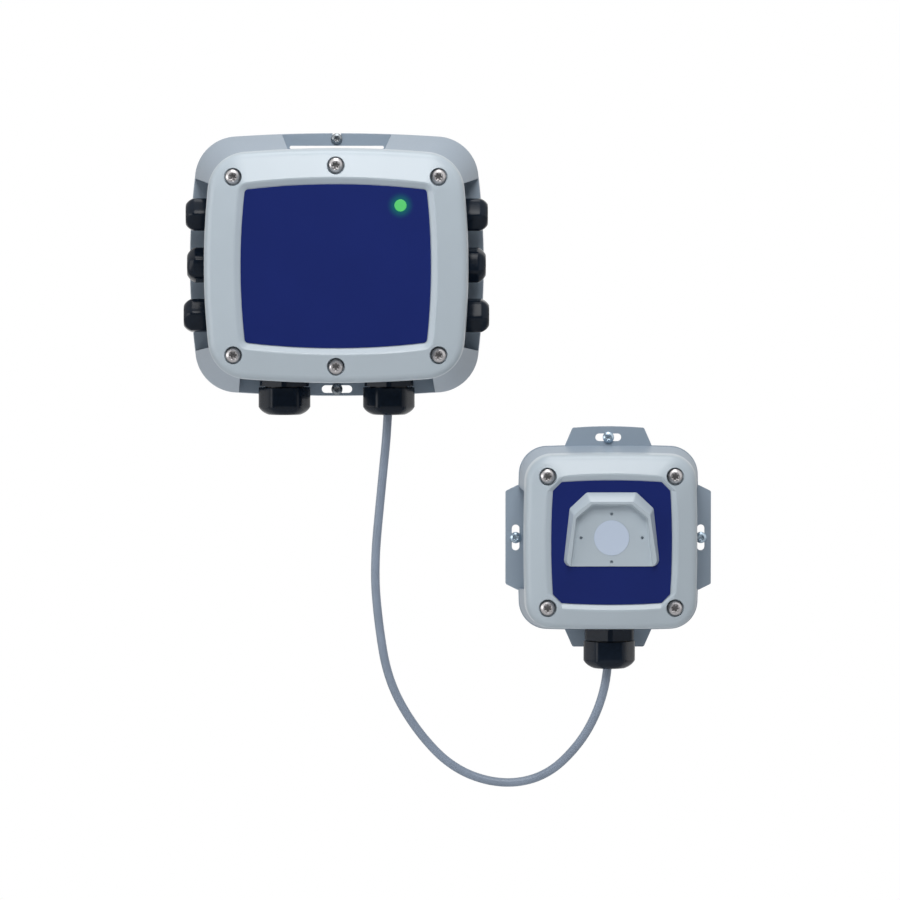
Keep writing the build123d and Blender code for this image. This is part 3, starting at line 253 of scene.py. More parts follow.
@dataclass(frozen=True)
class Finish:
    """A finish with a material of its own. Each kind of finish lays its own nodes."""

    name: str

    def build(self) -> bpy.types.Material:
        """Makes the material.

        Returns:
            The material, with the finish's nodes.
        """
        material = bpy.data.materials.new(self.name)
        material.use_nodes = True
        material.node_tree.nodes.clear()
        self.lay(material.node_tree)
        return material

    def lay(self, tree: bpy.types.NodeTree) -> None:
        """Lays the finish's nodes.

        Args:
            tree: the material's empty tree.
        """
        raise NotImplementedError


@dataclass(frozen=True)
class MouldedPlastic(Finish):
    """Injection-moulded plastic: a fine eroded texture scatters light and softens every glint."""

    colour: str
    roughness: float
    pit_mm: float = 0.7
    pit_depth_mm: float = 0.02
    spread: float = 0.05
    cloud_mm: float = 40.0
    swing: float = 0.02
    gloss: float = 0.5

    def lay(self, tree: bpy.types.NodeTree) -> None:
        """Lays faint clouds and the pits, drawn coarser than real ones so that they show."""
        pits = grain(tree, self.pit_mm)
        cloud = grain(tree, self.cloud_mm)
        finish_surface(
            tree,
            {
                "Base Color": shaded(tree, self.colour, cloud, self.swing),
                "IOR": 1.5,
                "Specular IOR Level": self.gloss,
            },
            rough=(pits, self.roughness - self.spread, self.roughness + self.spread),
            relief=(pits, self.pit_depth_mm),
        )


@dataclass(frozen=True)
class PrintedFilm(Finish):
    """Polyester overlay printed on its back: an even ink colour under a satin, very flat skin."""

    colour: str = "18276A"
    roughness: float = 0.3
    gloss: float = 0.18
    peel_mm: float = 6.0
    peel_depth_mm: float = 0.003
    cloud_mm: float = 30.0
    swing: float = 0.03
    glow_at_mm: tuple[float, float, float] | None = None
    glow_colour: str = "00FF3C"
    glow_core_mm: float = 3.0
    glow_reach_mm: float = 8.4
    glow_falloff: float = 1.7
    glow_strength: float = 0.125

    def lay(self, tree: bpy.types.NodeTree) -> None:
        """Lays the ink and the skin, and the soft light that spreads round a lit lamp."""
        peel = grain(tree, self.peel_mm)
        cloud = grain(tree, self.cloud_mm)
        inputs: dict[str, Any] = {
            "Base Color": shaded(tree, self.colour, cloud, self.swing),
            "Roughness": self.roughness,
            "IOR": 1.57,
            "Specular IOR Level": self.gloss,
        }
        if self.glow_at_mm:
            inputs["Emission Color"] = linear(self.glow_colour)
            inputs["Emission Strength"] = self.glow(tree)
        finish_surface(tree, inputs, relief=(peel, self.peel_depth_mm))

    def glow(self, tree: bpy.types.NodeTree) -> bpy.types.NodeSocket:
        """Light that fades with the distance from the lamp.

        Args:
            tree: the material's tree.

        Returns:
            The strength of the glow.
        """
        place = add_node(tree, "ShaderNodeTexCoord").outputs["Object"]
        away = add_node(
            tree,
            "ShaderNodeVectorMath",
            {"operation": "DISTANCE"},
            {0: place, 1: tuple(v * MM for v in self.glow_at_mm)},
        ).outputs["Value"]
        fade = add_node(
            tree,
            "ShaderNodeMapRange",
            inputs={
                "Value": away,
                "From Min": self.glow_core_mm * MM,
                "From Max": self.glow_reach_mm * MM,
                "To Min": 1.0,
                "To Max": 0.0,
            },
        ).outputs["Result"]
        for operation, amount in (("POWER", self.glow_falloff), ("MULTIPLY", self.glow_strength)):
            fade = add_node(
                tree, "ShaderNodeMath", {"operation": operation}, {0: fade, 1: amount}
            ).outputs[0]
        return fade


@dataclass(frozen=True)
class MouldedNylon(Finish):
    """Black polyamide: smooth from the mould, with soft highlights along rounded edges."""

    colour: str = "161F2B"
    roughness: float = 0.17
    smoother: float = 0.06
    rougher: float = 0.08
    gloss: float = 0.14
    ripple_mm: float = 2.5
    ripple_depth_mm: float = 0.02
    scuff_mm: float = 0.5
    swing: float = 0.10

    def lay(self, tree: bpy.types.NodeTree) -> None:
        """Lays slow ripples of sink and fine scuffs."""
        ripple = grain(tree, self.ripple_mm)
        scuff = grain(tree, self.scuff_mm)
        finish_surface(
            tree,
            {
                "Base Color": shaded(tree, self.colour, ripple, self.swing),
                "IOR": 1.53,
                "Specular IOR Level": self.gloss,
            },
            rough=(scuff, self.roughness - self.smoother, self.roughness + self.rougher),
            relief=(ripple, self.ripple_depth_mm),
        )


@dataclass(frozen=True)
class SealRubber(Finish):
    """Moulded rubber: matt and dark, with a faint bloom that makes it look dusty."""

    colour: str = "1B1C1E"
    roughness: tuple[float, float] = (0.72, 0.88)
    bloom_mm: float = 1.2
    bloom_depth_mm: float = 0.015
    swing: float = 0.18

    def lay(self, tree: bpy.types.NodeTree) -> None:
        """Lays the bloom, which lightens the rubber and makes it rougher."""
        bloom = grain(tree, self.bloom_mm, detail=3.0)
        finish_surface(
            tree,
            {"Base Color": shaded(tree, self.colour, bloom, self.swing), "IOR": 1.52},
            rough=(bloom, *self.roughness),
            relief=(bloom, self.bloom_depth_mm),
        )


@dataclass(frozen=True)
class BrightMetal(Finish):
    """Machined or plated metal: fine tool marks break up its reflections.

    A screw's finish has crown_mm, the distance of the heads' crowns from the wall. Behind them the
    metal gets painted shade: it is darker in the drive and round the head's foot.
    """

    colour: str
    roughness: float
    smoother: float = 0.07
    rougher: float = 0.09
    mark_mm: float = 0.35
    mark_depth_mm: float = 0.006
    swing: float = 0.08
    crown_mm: float | None = None
    painted_shade_colour: str = "2E2C2C"
    painted_shade_from_mm: float = 0.35
    painted_shade_full_mm: float = 1.7
    painted_shade_share: float = 0.68

    def lay(self, tree: bpy.types.NodeTree) -> None:
        """Lays the tool marks, and the painted shade where there is any."""
        marks = grain(tree, self.mark_mm, detail=3.0)
        colour = shaded(tree, self.colour, marks, self.swing)
        finish_surface(
            tree,
            {
                "Base Color": colour if self.crown_mm is None else self.with_painted_shade(tree, colour),
                "Metallic": 1.0,
            },
            rough=(marks, self.roughness - self.smoother, self.roughness + self.rougher),
            relief=(marks, self.mark_depth_mm),
        )

    def with_painted_shade(
        self, tree: bpy.types.NodeTree, colour: bpy.types.NodeSocket
    ) -> bpy.types.NodeSocket:
        """The metal's colour with painted shade in the drive and round the head's foot.

        Args:
            tree: the material's tree.
            colour: the clean metal's colour.

        Returns:
            The colour, darker the deeper it lies behind the heads' crowns.
        """
        place = add_node(tree, "ShaderNodeTexCoord").outputs["Object"]
        depth = add_node(tree, "ShaderNodeSeparateXYZ", inputs={0: place}).outputs["Y"]
        # Painted shade: the deeper a point lies behind the crowns, the darker it gets.
        painted_shade = add_node(
            tree,
            "ShaderNodeMapRange",
            inputs={
                "Value": depth,
                "From Min": (self.painted_shade_from_mm - self.crown_mm) * MM,
                "From Max": (self.painted_shade_full_mm - self.crown_mm) * MM,
                "To Min": 0.0,
                "To Max": self.painted_shade_share,
            },
        ).outputs["Result"]
        return add_node(
            tree,
            "ShaderNodeMix",
            {"data_type": "RGBA"},
            {0: painted_shade, 6: colour, 7: linear(self.painted_shade_colour)},
        ).outputs[2]


@dataclass(frozen=True)
class LitAcrylic(Finish):
    """Clear acrylic light pipe with a lit lamp behind it, which makes it glow evenly."""

    colour: str = "509C60"
    light: str = "5BDC78"
    strength: float = 0.42
    clearness: float = 0.15
    roughness: tuple[float, float] = (0.10, 0.22)
    flow_mm: float = 1.5
    swing: float = 0.04

    def lay(self, tree: bpy.types.NodeTree) -> None:
        """Lays slight streaks of flow in the moulding."""
        flow = grain(tree, self.flow_mm)
        finish_surface(
            tree,
            {
                "Base Color": shaded(tree, self.colour, flow, self.swing),
                "IOR": 1.49,
                "Transmission Weight": self.clearness,
                "Emission Color": linear(self.light),
                "Emission Strength": self.strength,
            },
            rough=(flow, *self.roughness),
        )


@dataclass(frozen=True)
class PorousFilm(Finish):
    """Sintered fluoropolymer filter: chalky white, with a cool and very even scatter."""

    colour: str = "C4D1E4"
    roughness: tuple[float, float] = (0.8, 0.95)
    sheen: float = 0.2
    pore_mm: float = 0.4
    pore_depth_mm: float = 0.02
    swing: float = 0.04

    def lay(self, tree: bpy.types.NodeTree) -> None:
        """Lays the pores, drawn far coarser than real ones so that they show."""
        pores = grain(tree, self.pore_mm, detail=3.0)
        finish_surface(
            tree,
            {
                "Base Color": shaded(tree, self.colour, pores, self.swing),
                "IOR": 1.35,
                "Sheen Weight": self.sheen,
            },
            rough=(pores, *self.roughness),
            relief=(pores, self.pore_depth_mm),
        )


@dataclass(frozen=True)
class ExtrudedJacket(Finish):
    """Extruded cable sheath: a satin skin with slow clouds in its grey."""

    colour: str = "8D9AAC"
    roughness: float = 0.42
    smoother: float = 0.05
    rougher: float = 0.08
    skin_mm: float = 0.8
    skin_depth_mm: float = 0.01
    cloud_mm: float = 12.0
    swing: float = 0.06

    def lay(self, tree: bpy.types.NodeTree) -> None:
        """Lays the skin's fine unevenness over the clouds."""
        skin = grain(tree, self.skin_mm)
        cloud = grain(tree, self.cloud_mm)
        finish_surface(
            tree,
            {"Base Color": shaded(tree, self.colour, cloud, self.swing), "IOR": 1.53},
            rough=(skin, self.roughness - self.smoother, self.roughness + self.rougher),
            relief=(skin, self.skin_depth_mm),
        )


@dataclass(frozen=True)
class BoardLaminate(Finish):
    """Solder-masked laminate: green over copper tracks in nested rings with square corners.

    The tracks follow a cell pattern of cell_mm. Their pitch, and the two edges between which one
    rises from the laminate, are shares of a cell.
    """

    colour: str = "0F5A2C"
    track: str = "1C7A40"
    roughness: float = 0.3
    cell_mm: float = 6.0
    half_pitch: float = 0.1
    edges: tuple[float, float] = (0.04, 0.06)
    track_depth_mm: float = 0.03

    def lay(self, tree: bpy.types.NodeTree) -> None:
        """Lays the tracks, which are 1.2 mm apart."""
        place = add_node(tree, "ShaderNodeTexCoord").outputs["Object"]
        cells = add_node(
            tree,
            "ShaderNodeTexVoronoi",
            {"distance": "MANHATTAN"},
            {"Vector": place, "Scale": 1 / (self.cell_mm * MM)},
        ).outputs["Distance"]
        lines = add_node(
            tree, "ShaderNodeMath", {"operation": "PINGPONG"}, {0: cells, 1: self.half_pitch}
        ).outputs[0]
        mask = add_node(
            tree,
            "ShaderNodeMapRange",
            inputs={"Value": lines, "From Min": self.edges[0], "From Max": self.edges[1]},
        ).outputs["Result"]
        colour = add_node(
            tree,
            "ShaderNodeMix",
            {"data_type": "RGBA"},
            {0: mask, 6: linear(self.colour), 7: linear(self.track)},
        ).outputs[2]
        finish_surface(
            tree,
            {"Base Color": colour, "Roughness": self.roughness, "IOR": 1.55},
            relief=(mask, self.track_depth_mm),
        )


@dataclass(frozen=True)
class StudioSheet(Finish):
    """Matt paper or cloth of the studio, with a light of its own where it has a glow."""

    colour: str
    weave_mm: float
    swing: float
    roughness: float = 0.9
    depth_mm: float | None = None
    glow: float = 0.0
    glow_colour: str = "F0F4FA"

    def lay(self, tree: bpy.types.NodeTree) -> None:
        """Lays the weave."""
        weave = grain(tree, self.weave_mm)
        finish_surface(
            tree,
            {
                "Base Color": shaded(tree, self.colour, weave, self.swing),
                "Roughness": self.roughness,
                "Emission Color": linear(self.glow_colour),
                "Emission Strength": self.glow,
            },
            relief=(weave, self.depth_mm) if self.depth_mm else None,
        )


# Mesh helpers


def turned_mesh(
    name: str,
    rings: Sequence[tuple[Radius, float]],
    segments: int,
    closed_loop: bool = False,
    sharp: float = SHARP_DEG,
) -> bpy.types.Mesh:
    """Skins a stack of rings about +Z.

    Args:
        name: the mesh's name.
        rings: radius and height of each ring, from the first cap to the last.
        segments: points in each ring.
        closed_loop: joins the last ring to the first, as on a washer, in place of caps.
        sharp: angle in degrees past which an edge stays sharp.

    Returns:
        The mesh, with its faces pointing outwards.
    """
    shape = bmesh.new()
    loops = []
    for radius, height in rings:
        points = []
        for i in range(segments):
            angle = 2 * math.pi * i / segments
            r = radius(angle) if callable(radius) else radius
            points.append(Vector((r * math.cos(angle), r * math.sin(angle), height)) * MM)
        loops.append([shape.verts.new(p) for p in points])
    pairs = list(zip(loops, loops[1:]))
    if closed_loop:
        pairs.append((loops[-1], loops[0]))
    for low, high in pairs:
        for i in range(segments):
            j = (i + 1) % segments
            shape.faces.new((low[i], low[j], high[j], high[i]))
    if not closed_loop:
        for loop in (loops[0], loops[-1]):
            middle = shape.verts.new(sum((v.co for v in loop), Vector()) / segments)
            for i in range(segments):
                shape.faces.new((loop[i], loop[(i + 1) % segments], middle))
    bmesh.ops.recalc_face_normals(shape, faces=shape.faces)
    mesh = bpy.data.meshes.new(name)
    shape.to_mesh(mesh)
    shape.free()
    smooth_faces(mesh, sharp)
    return mesh


def smooth_faces(mesh: bpy.types.Mesh, sharp: float) -> None:
    """Shades a mesh smooth and keeps its steep edges sharp.

    Args:
        mesh: the mesh.
        sharp: angle in degrees.
    """
    mesh.polygons.foreach_set("use_smooth", [True] * len(mesh.polygons))
    mesh.set_sharp_from_angle(angle=math.radians(sharp))


def new_object(name: str, data: bpy.types.ID) -> bpy.types.Object:
    """Links a new object at the origin.

    Args:
        name: the object's name.
        data: its mesh or curve.

    Returns:
        The object.
    """
    thing = bpy.data.objects.new(name, data)
    bpy.context.scene.collection.objects.link(thing)
    return thing


def new_sheet(
    name: str, corners: Sequence[tuple[float, float, float]], finish: Finish
) -> bpy.types.Object:
    """Makes one flat face with four corners.

    Args:
        name: the object's name.
        corners: its corners in metres, in order round it.
        finish: its finish.

    Returns:
        The object.
    """
    mesh = bpy.data.meshes.new(name)
    mesh.from_pydata(corners, [], [(0, 1, 2, 3)])
    mesh.materials.append(finish.build())
    return new_object(name, mesh)


def repeat_tree() -> bpy.types.NodeTree:
    """Builds the tree that sets one piece at every point of a cloud.

    Returns:
        A tree with the named inputs Points, Piece and Finish.
    """
    tree = bpy.data.node_groups.new("set_at_points", "GeometryNodeTree")
    face = tree.interface
    face.new_socket("Points", in_out="INPUT", socket_type="NodeSocketGeometry")
    face.new_socket("Piece", in_out="INPUT", socket_type="NodeSocketObject")
    face.new_socket("Finish", in_out="INPUT", socket_type="NodeSocketMaterial")
    face.new_socket("Pieces", in_out="OUTPUT", socket_type="NodeSocketGeometry")
    given = add_node(tree, "NodeGroupInput")
    turn = add_node(
        tree, "GeometryNodeInputNamedAttribute", {"data_type": "FLOAT_VECTOR"}, {"Name": "turn"}
    )
    info = add_node(
        tree,
        "GeometryNodeObjectInfo",
        {"transform_space": "ORIGINAL"},
        {"Object": given.outputs["Piece"]},
    )
    placed = add_node(
        tree,
        "GeometryNodeInstanceOnPoints",
        inputs={
            "Points": given.outputs["Points"],
            "Instance": info.outputs["Geometry"],
            "Rotation": turn.outputs["Attribute"],
        },
    )
    real = add_node(
        tree, "GeometryNodeRealizeInstances", inputs={"Geometry": placed.outputs["Instances"]}
    )
    dressed = add_node(
        tree,
        "GeometryNodeSetMaterial",
        inputs={"Geometry": real.outputs["Geometry"], "Material": given.outputs["Finish"]},
    )
    add_node(tree, "NodeGroupOutput", inputs={"Pieces": dressed.outputs["Geometry"]})
    return tree


@dataclass
class Repeats:
    """Copies of one piece, set at places by Geometry Nodes and turned into one plain mesh."""

    name: str
    mesh: bpy.types.Mesh
    places: Sequence[Matrix]
    finish: bpy.types.Material

    def build(self) -> bpy.types.Object:
        """Makes the copies.

        Returns:
            One object at the origin that holds every copy.
        """
        cloud = bpy.data.meshes.new(self.name + "_points")
        cloud.from_pydata([m.to_translation() for m in self.places], [], [])
        turns = cloud.attributes.new("turn", "FLOAT_VECTOR", "POINT")
        for i, place in enumerate(self.places):
            turns.data[i].vector = place.to_euler()
        piece = new_object(self.name + "_piece", self.mesh)
        maker = new_object(self.name + "_maker", cloud)
        tree = repeat_tree()
        modifier = maker.modifiers.new("repeat", "NODES")
        modifier.node_group = tree
        sockets = {s.name: s.identifier for s in tree.interface.items_tree if s.in_out == "INPUT"}
        modifier[sockets["Piece"]] = piece
        modifier[sockets["Finish"]] = self.finish
        shown = maker.evaluated_get(bpy.context.evaluated_depsgraph_get())
        mesh = bpy.data.meshes.new_from_object(shown)
        mesh.name = self.name
        maker.modifiers.remove(modifier)
        bpy.data.objects.remove(maker)
        bpy.data.objects.remove(piece)
        bpy.data.node_groups.remove(tree)
        return new_object(self.name, mesh)


def join_meshes(name: str, meshes: Sequence[bpy.types.Mesh]) -> bpy.types.Mesh:
    """Puts several meshes into one.

    Args:
        name: the new mesh's name.
        meshes: the meshes to put together.

    Returns:
        The joined mesh.
    """
    shape = bmesh.new()
    for mesh in meshes:
        shape.from_mesh(mesh)
    joined = bpy.data.meshes.new(name)
    shape.to_mesh(joined)
    shape.free()
    smooth_faces(joined, SHARP_DEG)
    return joined


# Sub-assemblies


@dataclass
class Screw:
    """Pan-head screw with a six-lobed recess, made along +Z with its underside at the origin.

    Sizes are in millimetres. The side holds the rings of the head below its crown, as shares of
    its radius and height.
    """

    head_r: float
    head_height: float
    recess_r: float
    recess_depth: float
    shank_r: float
    shank_length: float
    neck_r: float | None = None
    neck_length: float = 0.0
    tip_length: float = 0.0
    tip_r: float = 0.12
    thread_pitch: float = 0.0
    thread_steps: int = 8
    root_share: float = 0.72
    ridge_slope: float = 3.2
    ridge_lead: float = 0.1
    lobe_depth: float = 0.14
    side: Sequence[tuple[float, float]] = ((0.97, 0.0), (1.0, 0.04), (1.0, 0.35))
    crown_power: float = 0.8
    crown_steps: int = 6
    crown_step_deg: float = 12.0
    head_segments: int = 60
    shank_segments: int = 24

    def lobes(self, share: float) -> Callable[[float], float]:
        """Outline of the recess.

        Args:
            share: size as a share of the full recess.

        Returns:
            A function from angle to radius.
        """
        mean = 1 - self.lobe_depth
        return lambda angle: (
            self.recess_r * share * (mean + self.lobe_depth * math.cos(6 * angle))
        )

    def head_rings(self) -> list[tuple[Radius, float]]:
        """Rings of the head, from its underside over its crown and into the recess.

        Returns:
            The rings, with heights above the underside.
        """
        r, h = self.head_r, self.head_height
        rings: list[tuple[Radius, float]] = [(r * wide, h * high) for wide, high in self.side]
        edge = rings[-1][1]
        for step in range(1, self.crown_steps + 1):
            angle = math.radians(step * self.crown_step_deg)
            wide = r * math.cos(angle) ** self.crown_power
            rings.append((wide, edge + (h - edge) * math.sin(angle)))
        rings = [ring for ring in rings if ring[0] > self.recess_r * 1.12]
        land = h * 0.985
        chamfer_foot = h * 0.955
        wall_foot = h - self.recess_depth
        bottom = h - self.recess_depth * 1.12
        return rings + [
            (self.recess_r * 1.1, land),
            (self.lobes(1.04), land),
            (self.lobes(0.97), chamfer_foot),
            (self.lobes(0.92), wall_foot),
            (self.lobes(0.45), bottom),
        ]

    def shank_rings(self) -> list[tuple[Radius, float]]:
        """Rings of the tip, the shank and the neck, from the tip up to the head.

        Returns:
            The rings, with heights above the head's underside.
        """
        end = -(self.neck_length + self.shank_length + self.tip_length)
        rings: list[tuple[Radius, float]] = [(self.tip_r, end)]
        start = -self.neck_length
        if not self.thread_pitch:
            rings += [(self.shank_r, -self.neck_length - self.shank_length), (self.shank_r, start)]
        else:
            rings += self.thread_rings(end, start)
        if self.neck_r:
            rings += [(self.neck_r, start), (self.neck_r, 0.0)]
        return rings

    def thread_rings(self, end: float, start: float) -> list[tuple[Radius, float]]:
        """Rings of a helical thread that fades out towards the tip.

        Args:
            end: height of the tip.
            start: height where the thread begins.

        Returns:
            The rings.
        """
        count = int((start - end) / self.thread_pitch * self.thread_steps)
        flank = 1 - self.root_share
        rings: list[tuple[Radius, float]] = []
        for k in range(1, count):
            height = end + (start - end) * k / count
            taper = min(1.0, (height - end) / self.tip_length)

            def radius(angle: float, height: float = height, taper: float = taper) -> float:
                phase = (height / self.thread_pitch - angle / (2 * math.pi)) % 1.0
                ridge = max(0.0, 1 - abs(phase - 0.5) * self.ridge_slope)
                ridge *= min(1.0, taper + self.ridge_lead)
                return self.shank_r * (self.root_share * taper + flank * ridge)

            rings.append((radius, height))
        return rings

    def build(self, name: str) -> bpy.types.Mesh:
        """Builds the screw.

        Args:
            name: the mesh's name.

        Returns:
            Its mesh.
        """
        head = turned_mesh(name + "_head", self.head_rings(), self.head_segments)
        shank = turned_mesh(name + "_shank", self.shank_rings(), self.shank_segments)
        return join_meshes(name, [head, shank])


@dataclass
class DomeNut:
    """Gland nut: a hexagon with soft corners, a rounded shoulder, a flat end and a round mouth.

    base_bevel holds the growth of the hexagon and the height above the base of each ring there.
    """

    flat_r: float
    corner_r: float
    end_r: float
    length: float
    bore_r: float
    mouth_r: float
    shoulder: float = 4.6
    mouth_depth: float = 2.2
    cone_length: float = 3.6
    flats_gap: float = 1.2
    bow: float = 1.4
    mouth_bevel: float = 0.25
    base_bevel: Sequence[tuple[float, float]] = ((-0.5, 0.0), (-0.12, 0.15), (0.0, 0.55))
    corner_power: float = 26.0
    shoulder_steps: int = 8
    segments: int = 96
    sharp_deg: float = 28.0

    def hexagon(self, grow: float) -> Callable[[float], float]:
        """Outline with soft corners.

        Args:
            grow: amount added to the radius.

        Returns:
            A function from angle to radius.
        """

        def radius(angle: float) -> float:
            side = (angle + math.pi / 6) % (math.pi / 3) - math.pi / 6
            side = math.pi / 6 - abs(side)
            flat = self.flat_r / math.cos(side)
            power = self.corner_power
            return (flat**-power + self.corner_r**-power) ** (-1 / power) + grow

        return radius

    def build(self, name: str) -> bpy.types.Mesh:
        """Builds the nut along +Z, with its outer end at the origin.

        Args:
            name: the mesh's name.

        Returns:
            Its mesh.
        """
        base = -self.length
        hexagon = self.hexagon(0.0)
        rings: list[tuple[Radius, float]] = [(self.bore_r, base)]
        rings += [(self.hexagon(grow), base + rise) for grow, rise in self.base_bevel]
        rings += [(hexagon, -self.shoulder - self.flats_gap), (hexagon, -self.shoulder)]
        for step in range(1, self.shoulder_steps + 1):
            t = step / self.shoulder_steps
            share = (1 - t) ** 2 + self.bow * t * (1 - t)
            rise = t**2 + self.bow * t * (1 - t)

            def radius(turn: float, share: float = share) -> float:
                return self.end_r + (hexagon(turn) - self.end_r) * share

            rings.append((radius, self.shoulder * (rise - 1)))
        rings += [
            (self.mouth_r + self.mouth_bevel, 0.0),
            (self.mouth_r, -self.mouth_bevel),
            (self.mouth_r, -self.mouth_depth),
            (self.bore_r, -self.mouth_depth - self.cone_length),
        ]
        return turned_mesh(name, rings, self.segments, closed_loop=True, sharp=self.sharp_deg)


@dataclass
class CoverFastening:
    """The screws that hold one cover, set in its counterbores."""

    node: str
    places: Sequence[tuple[float, float]]
    depth: float
    spins: Sequence[float]
    shank_length: float

    def build(self, finish: bpy.types.Material) -> bpy.types.Object:
        """Builds the screws in place of their plain node.

        Args:
            finish: the screws' material.

        Returns:
            The piece.
        """
        screw = Screw(
            head_r=4.6,
            head_height=COVER_HEAD_HEIGHT,
            recess_r=2.5,
            recess_depth=1.6,
            shank_r=2.0,
            shank_length=self.shank_length,
        ).build(self.node + "_one")
        places = [
            Facing.VIEWER.at(x, -self.depth, z, spin)
            for (x, z), spin in zip(self.places, self.spins)
        ]
        piece = Repeats(self.node + "_detail", screw, places, finish).build()
        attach(piece, BODY)
        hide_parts(self.node)
        return piece


@dataclass
class WallFastening:
    """Wall screws whose heads bear on the rear flange and whose threads stand out behind it."""

    node: str
    places: Sequence[tuple[float, float]]
    spins: Sequence[float]

    def build(self, finish: bpy.types.Material) -> bpy.types.Object:
        """Builds the screws in place of their plain node.

        Args:
            finish: the screws' material.

        Returns:
            The piece.
        """
        screw = Screw(
            head_r=3.4,
            head_height=WALL_HEAD_HEIGHT,
            recess_r=1.8,
            recess_depth=1.3,
            shank_r=2.1,
            shank_length=16.0,
            neck_r=1.7,
            neck_length=FLANGE,
            tip_length=4.0,
            thread_pitch=1.9,
        ).build(self.node + "_one")
        places = [
            Facing.VIEWER.at(x, -FLANGE, z, spin)
            for (x, z), spin in zip(self.places, self.spins)
        ]
        piece = Repeats(self.node + "_detail", screw, places, finish).build()
        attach(piece, BODY)
        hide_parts(self.node)
        return piece


@dataclass
class GlandNuts:
    """The dome nuts of one kind of gland."""

    node: str
    nut: DomeNut
    places: Sequence[Matrix]

    def build(self, finish: bpy.types.Material) -> bpy.types.Object:
        """Builds the nuts in place of their plain node.

        Args:
            finish: the nuts' material.

        Returns:
            The piece.
        """
        mesh = self.nut.build(self.node + "_one")
        piece = Repeats(self.node + "_detail", mesh, self.places, finish).build()
        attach(piece, BODY)
        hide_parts(self.node)
        return piece


@dataclass
class SensorCable:
    """The cable from the main housing's lower gland down and round to the remote head's gland."""

    node: str = "sensor_cable"
    radius_mm: float = 2.6
    length: float = 0.417
    points_mm: Sequence[tuple[float, float, float]] = (
        (31.1, -24.0, -59.4),
        (31.1, -24.0, -88.6),
        (26.3, -23.6, -136.0),
        (22.2, -22.8, -180.0),
        (24.5, -21.6, -212.0),
        (30.4, -20.2, -248.4),
        (46.9, -18.8, -278.0),
        (69.6, -17.6, -302.0),
        (98.4, -17.0, -311.6),
        (125.0, -17.2, -306.5),
        (145.5, -18.2, -286.9),
        (157.6, -19.4, -263.8),
        (162.8, -20.0, -238.6),
        (162.8, -20.0, -212.6),
    )

    def build(self, finish: bpy.types.Material) -> bpy.types.Object:
        """Builds the cable as one smooth curve.

        Args:
            finish: the jacket's material.

        Returns:
            The piece.
        """
        curve = bpy.data.curves.new("sensor_cable_jacket", "CURVE")
        curve.dimensions = "3D"
        curve.resolution_u = 24
        curve.bevel_depth = self.radius_mm * MM
        curve.bevel_resolution = 6
        curve.use_fill_caps = True
        spline = curve.splines.new("NURBS")
        spline.points.add(len(self.points_mm) - 1)
        for point, place in zip(spline.points, self.points_mm):
            point.co = (*[v * MM for v in place], 1.0)
        spline.order_u = 3
        spline.use_endpoint_u = True
        piece = new_object("sensor_cable_jacket", curve)
        curve.materials.append(finish)
        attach(piece, BODY)
        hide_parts("sensor_cable")
        return piece


@dataclass
class Dressing:
    """Gives the frame's own nodes their finishes."""

    finishes: dict[str, bpy.types.Material]

    def dress(self) -> None:
        """Puts each node's finish on it."""
        for name, thing in frame["nodes"].items():
            finish = self.finish_of(name)
            for slot in thing.material_slots:
                slot.material = finish
            log.info("dressed %s in %s", name, finish.name)

    def finish_of(self, name: str) -> bpy.types.Material:
        """The finish of a node: the one made for it alone, or else its slot's.

        Args:
            name: the node's name.

        Returns:
            Its material.
        """
        return self.finishes.get(name) or self.finishes[SLOTS[name]]


@dataclass(frozen=True)
class Lamp:
    """One soft square lamp, placed by its direction from the object and aimed at its middle.

    Angles are in degrees, power in watts, and the other sizes in metres. Glossy surfaces reflect
    the lamp only if it is mirrored.
    """

    name: str
    azimuth: float
    elevation: float
    power: float
    distance: float = 2.2
    size: float = 1.2
    mirrored: bool = True

    def build(self, middle: Vector) -> None:
        """Places the lamp.

        Args:
            middle: the point it is aimed at, in metres.
        """
        across, up = math.radians(self.azimuth), math.radians(self.elevation)
        away = Vector(
            (math.sin(across) * math.cos(up), -math.cos(across) * math.cos(up), math.sin(up))
        )
        data = bpy.data.lights.new(self.name, "AREA")
        data.size = self.size
        data.energy = self.power
        lamp = new_object(self.name, data)
        lamp.visible_glossy = self.mirrored
        lamp.location = middle + away * self.distance
        lamp.rotation_euler = (-away).to_track_quat("-Z", "Y").to_euler()


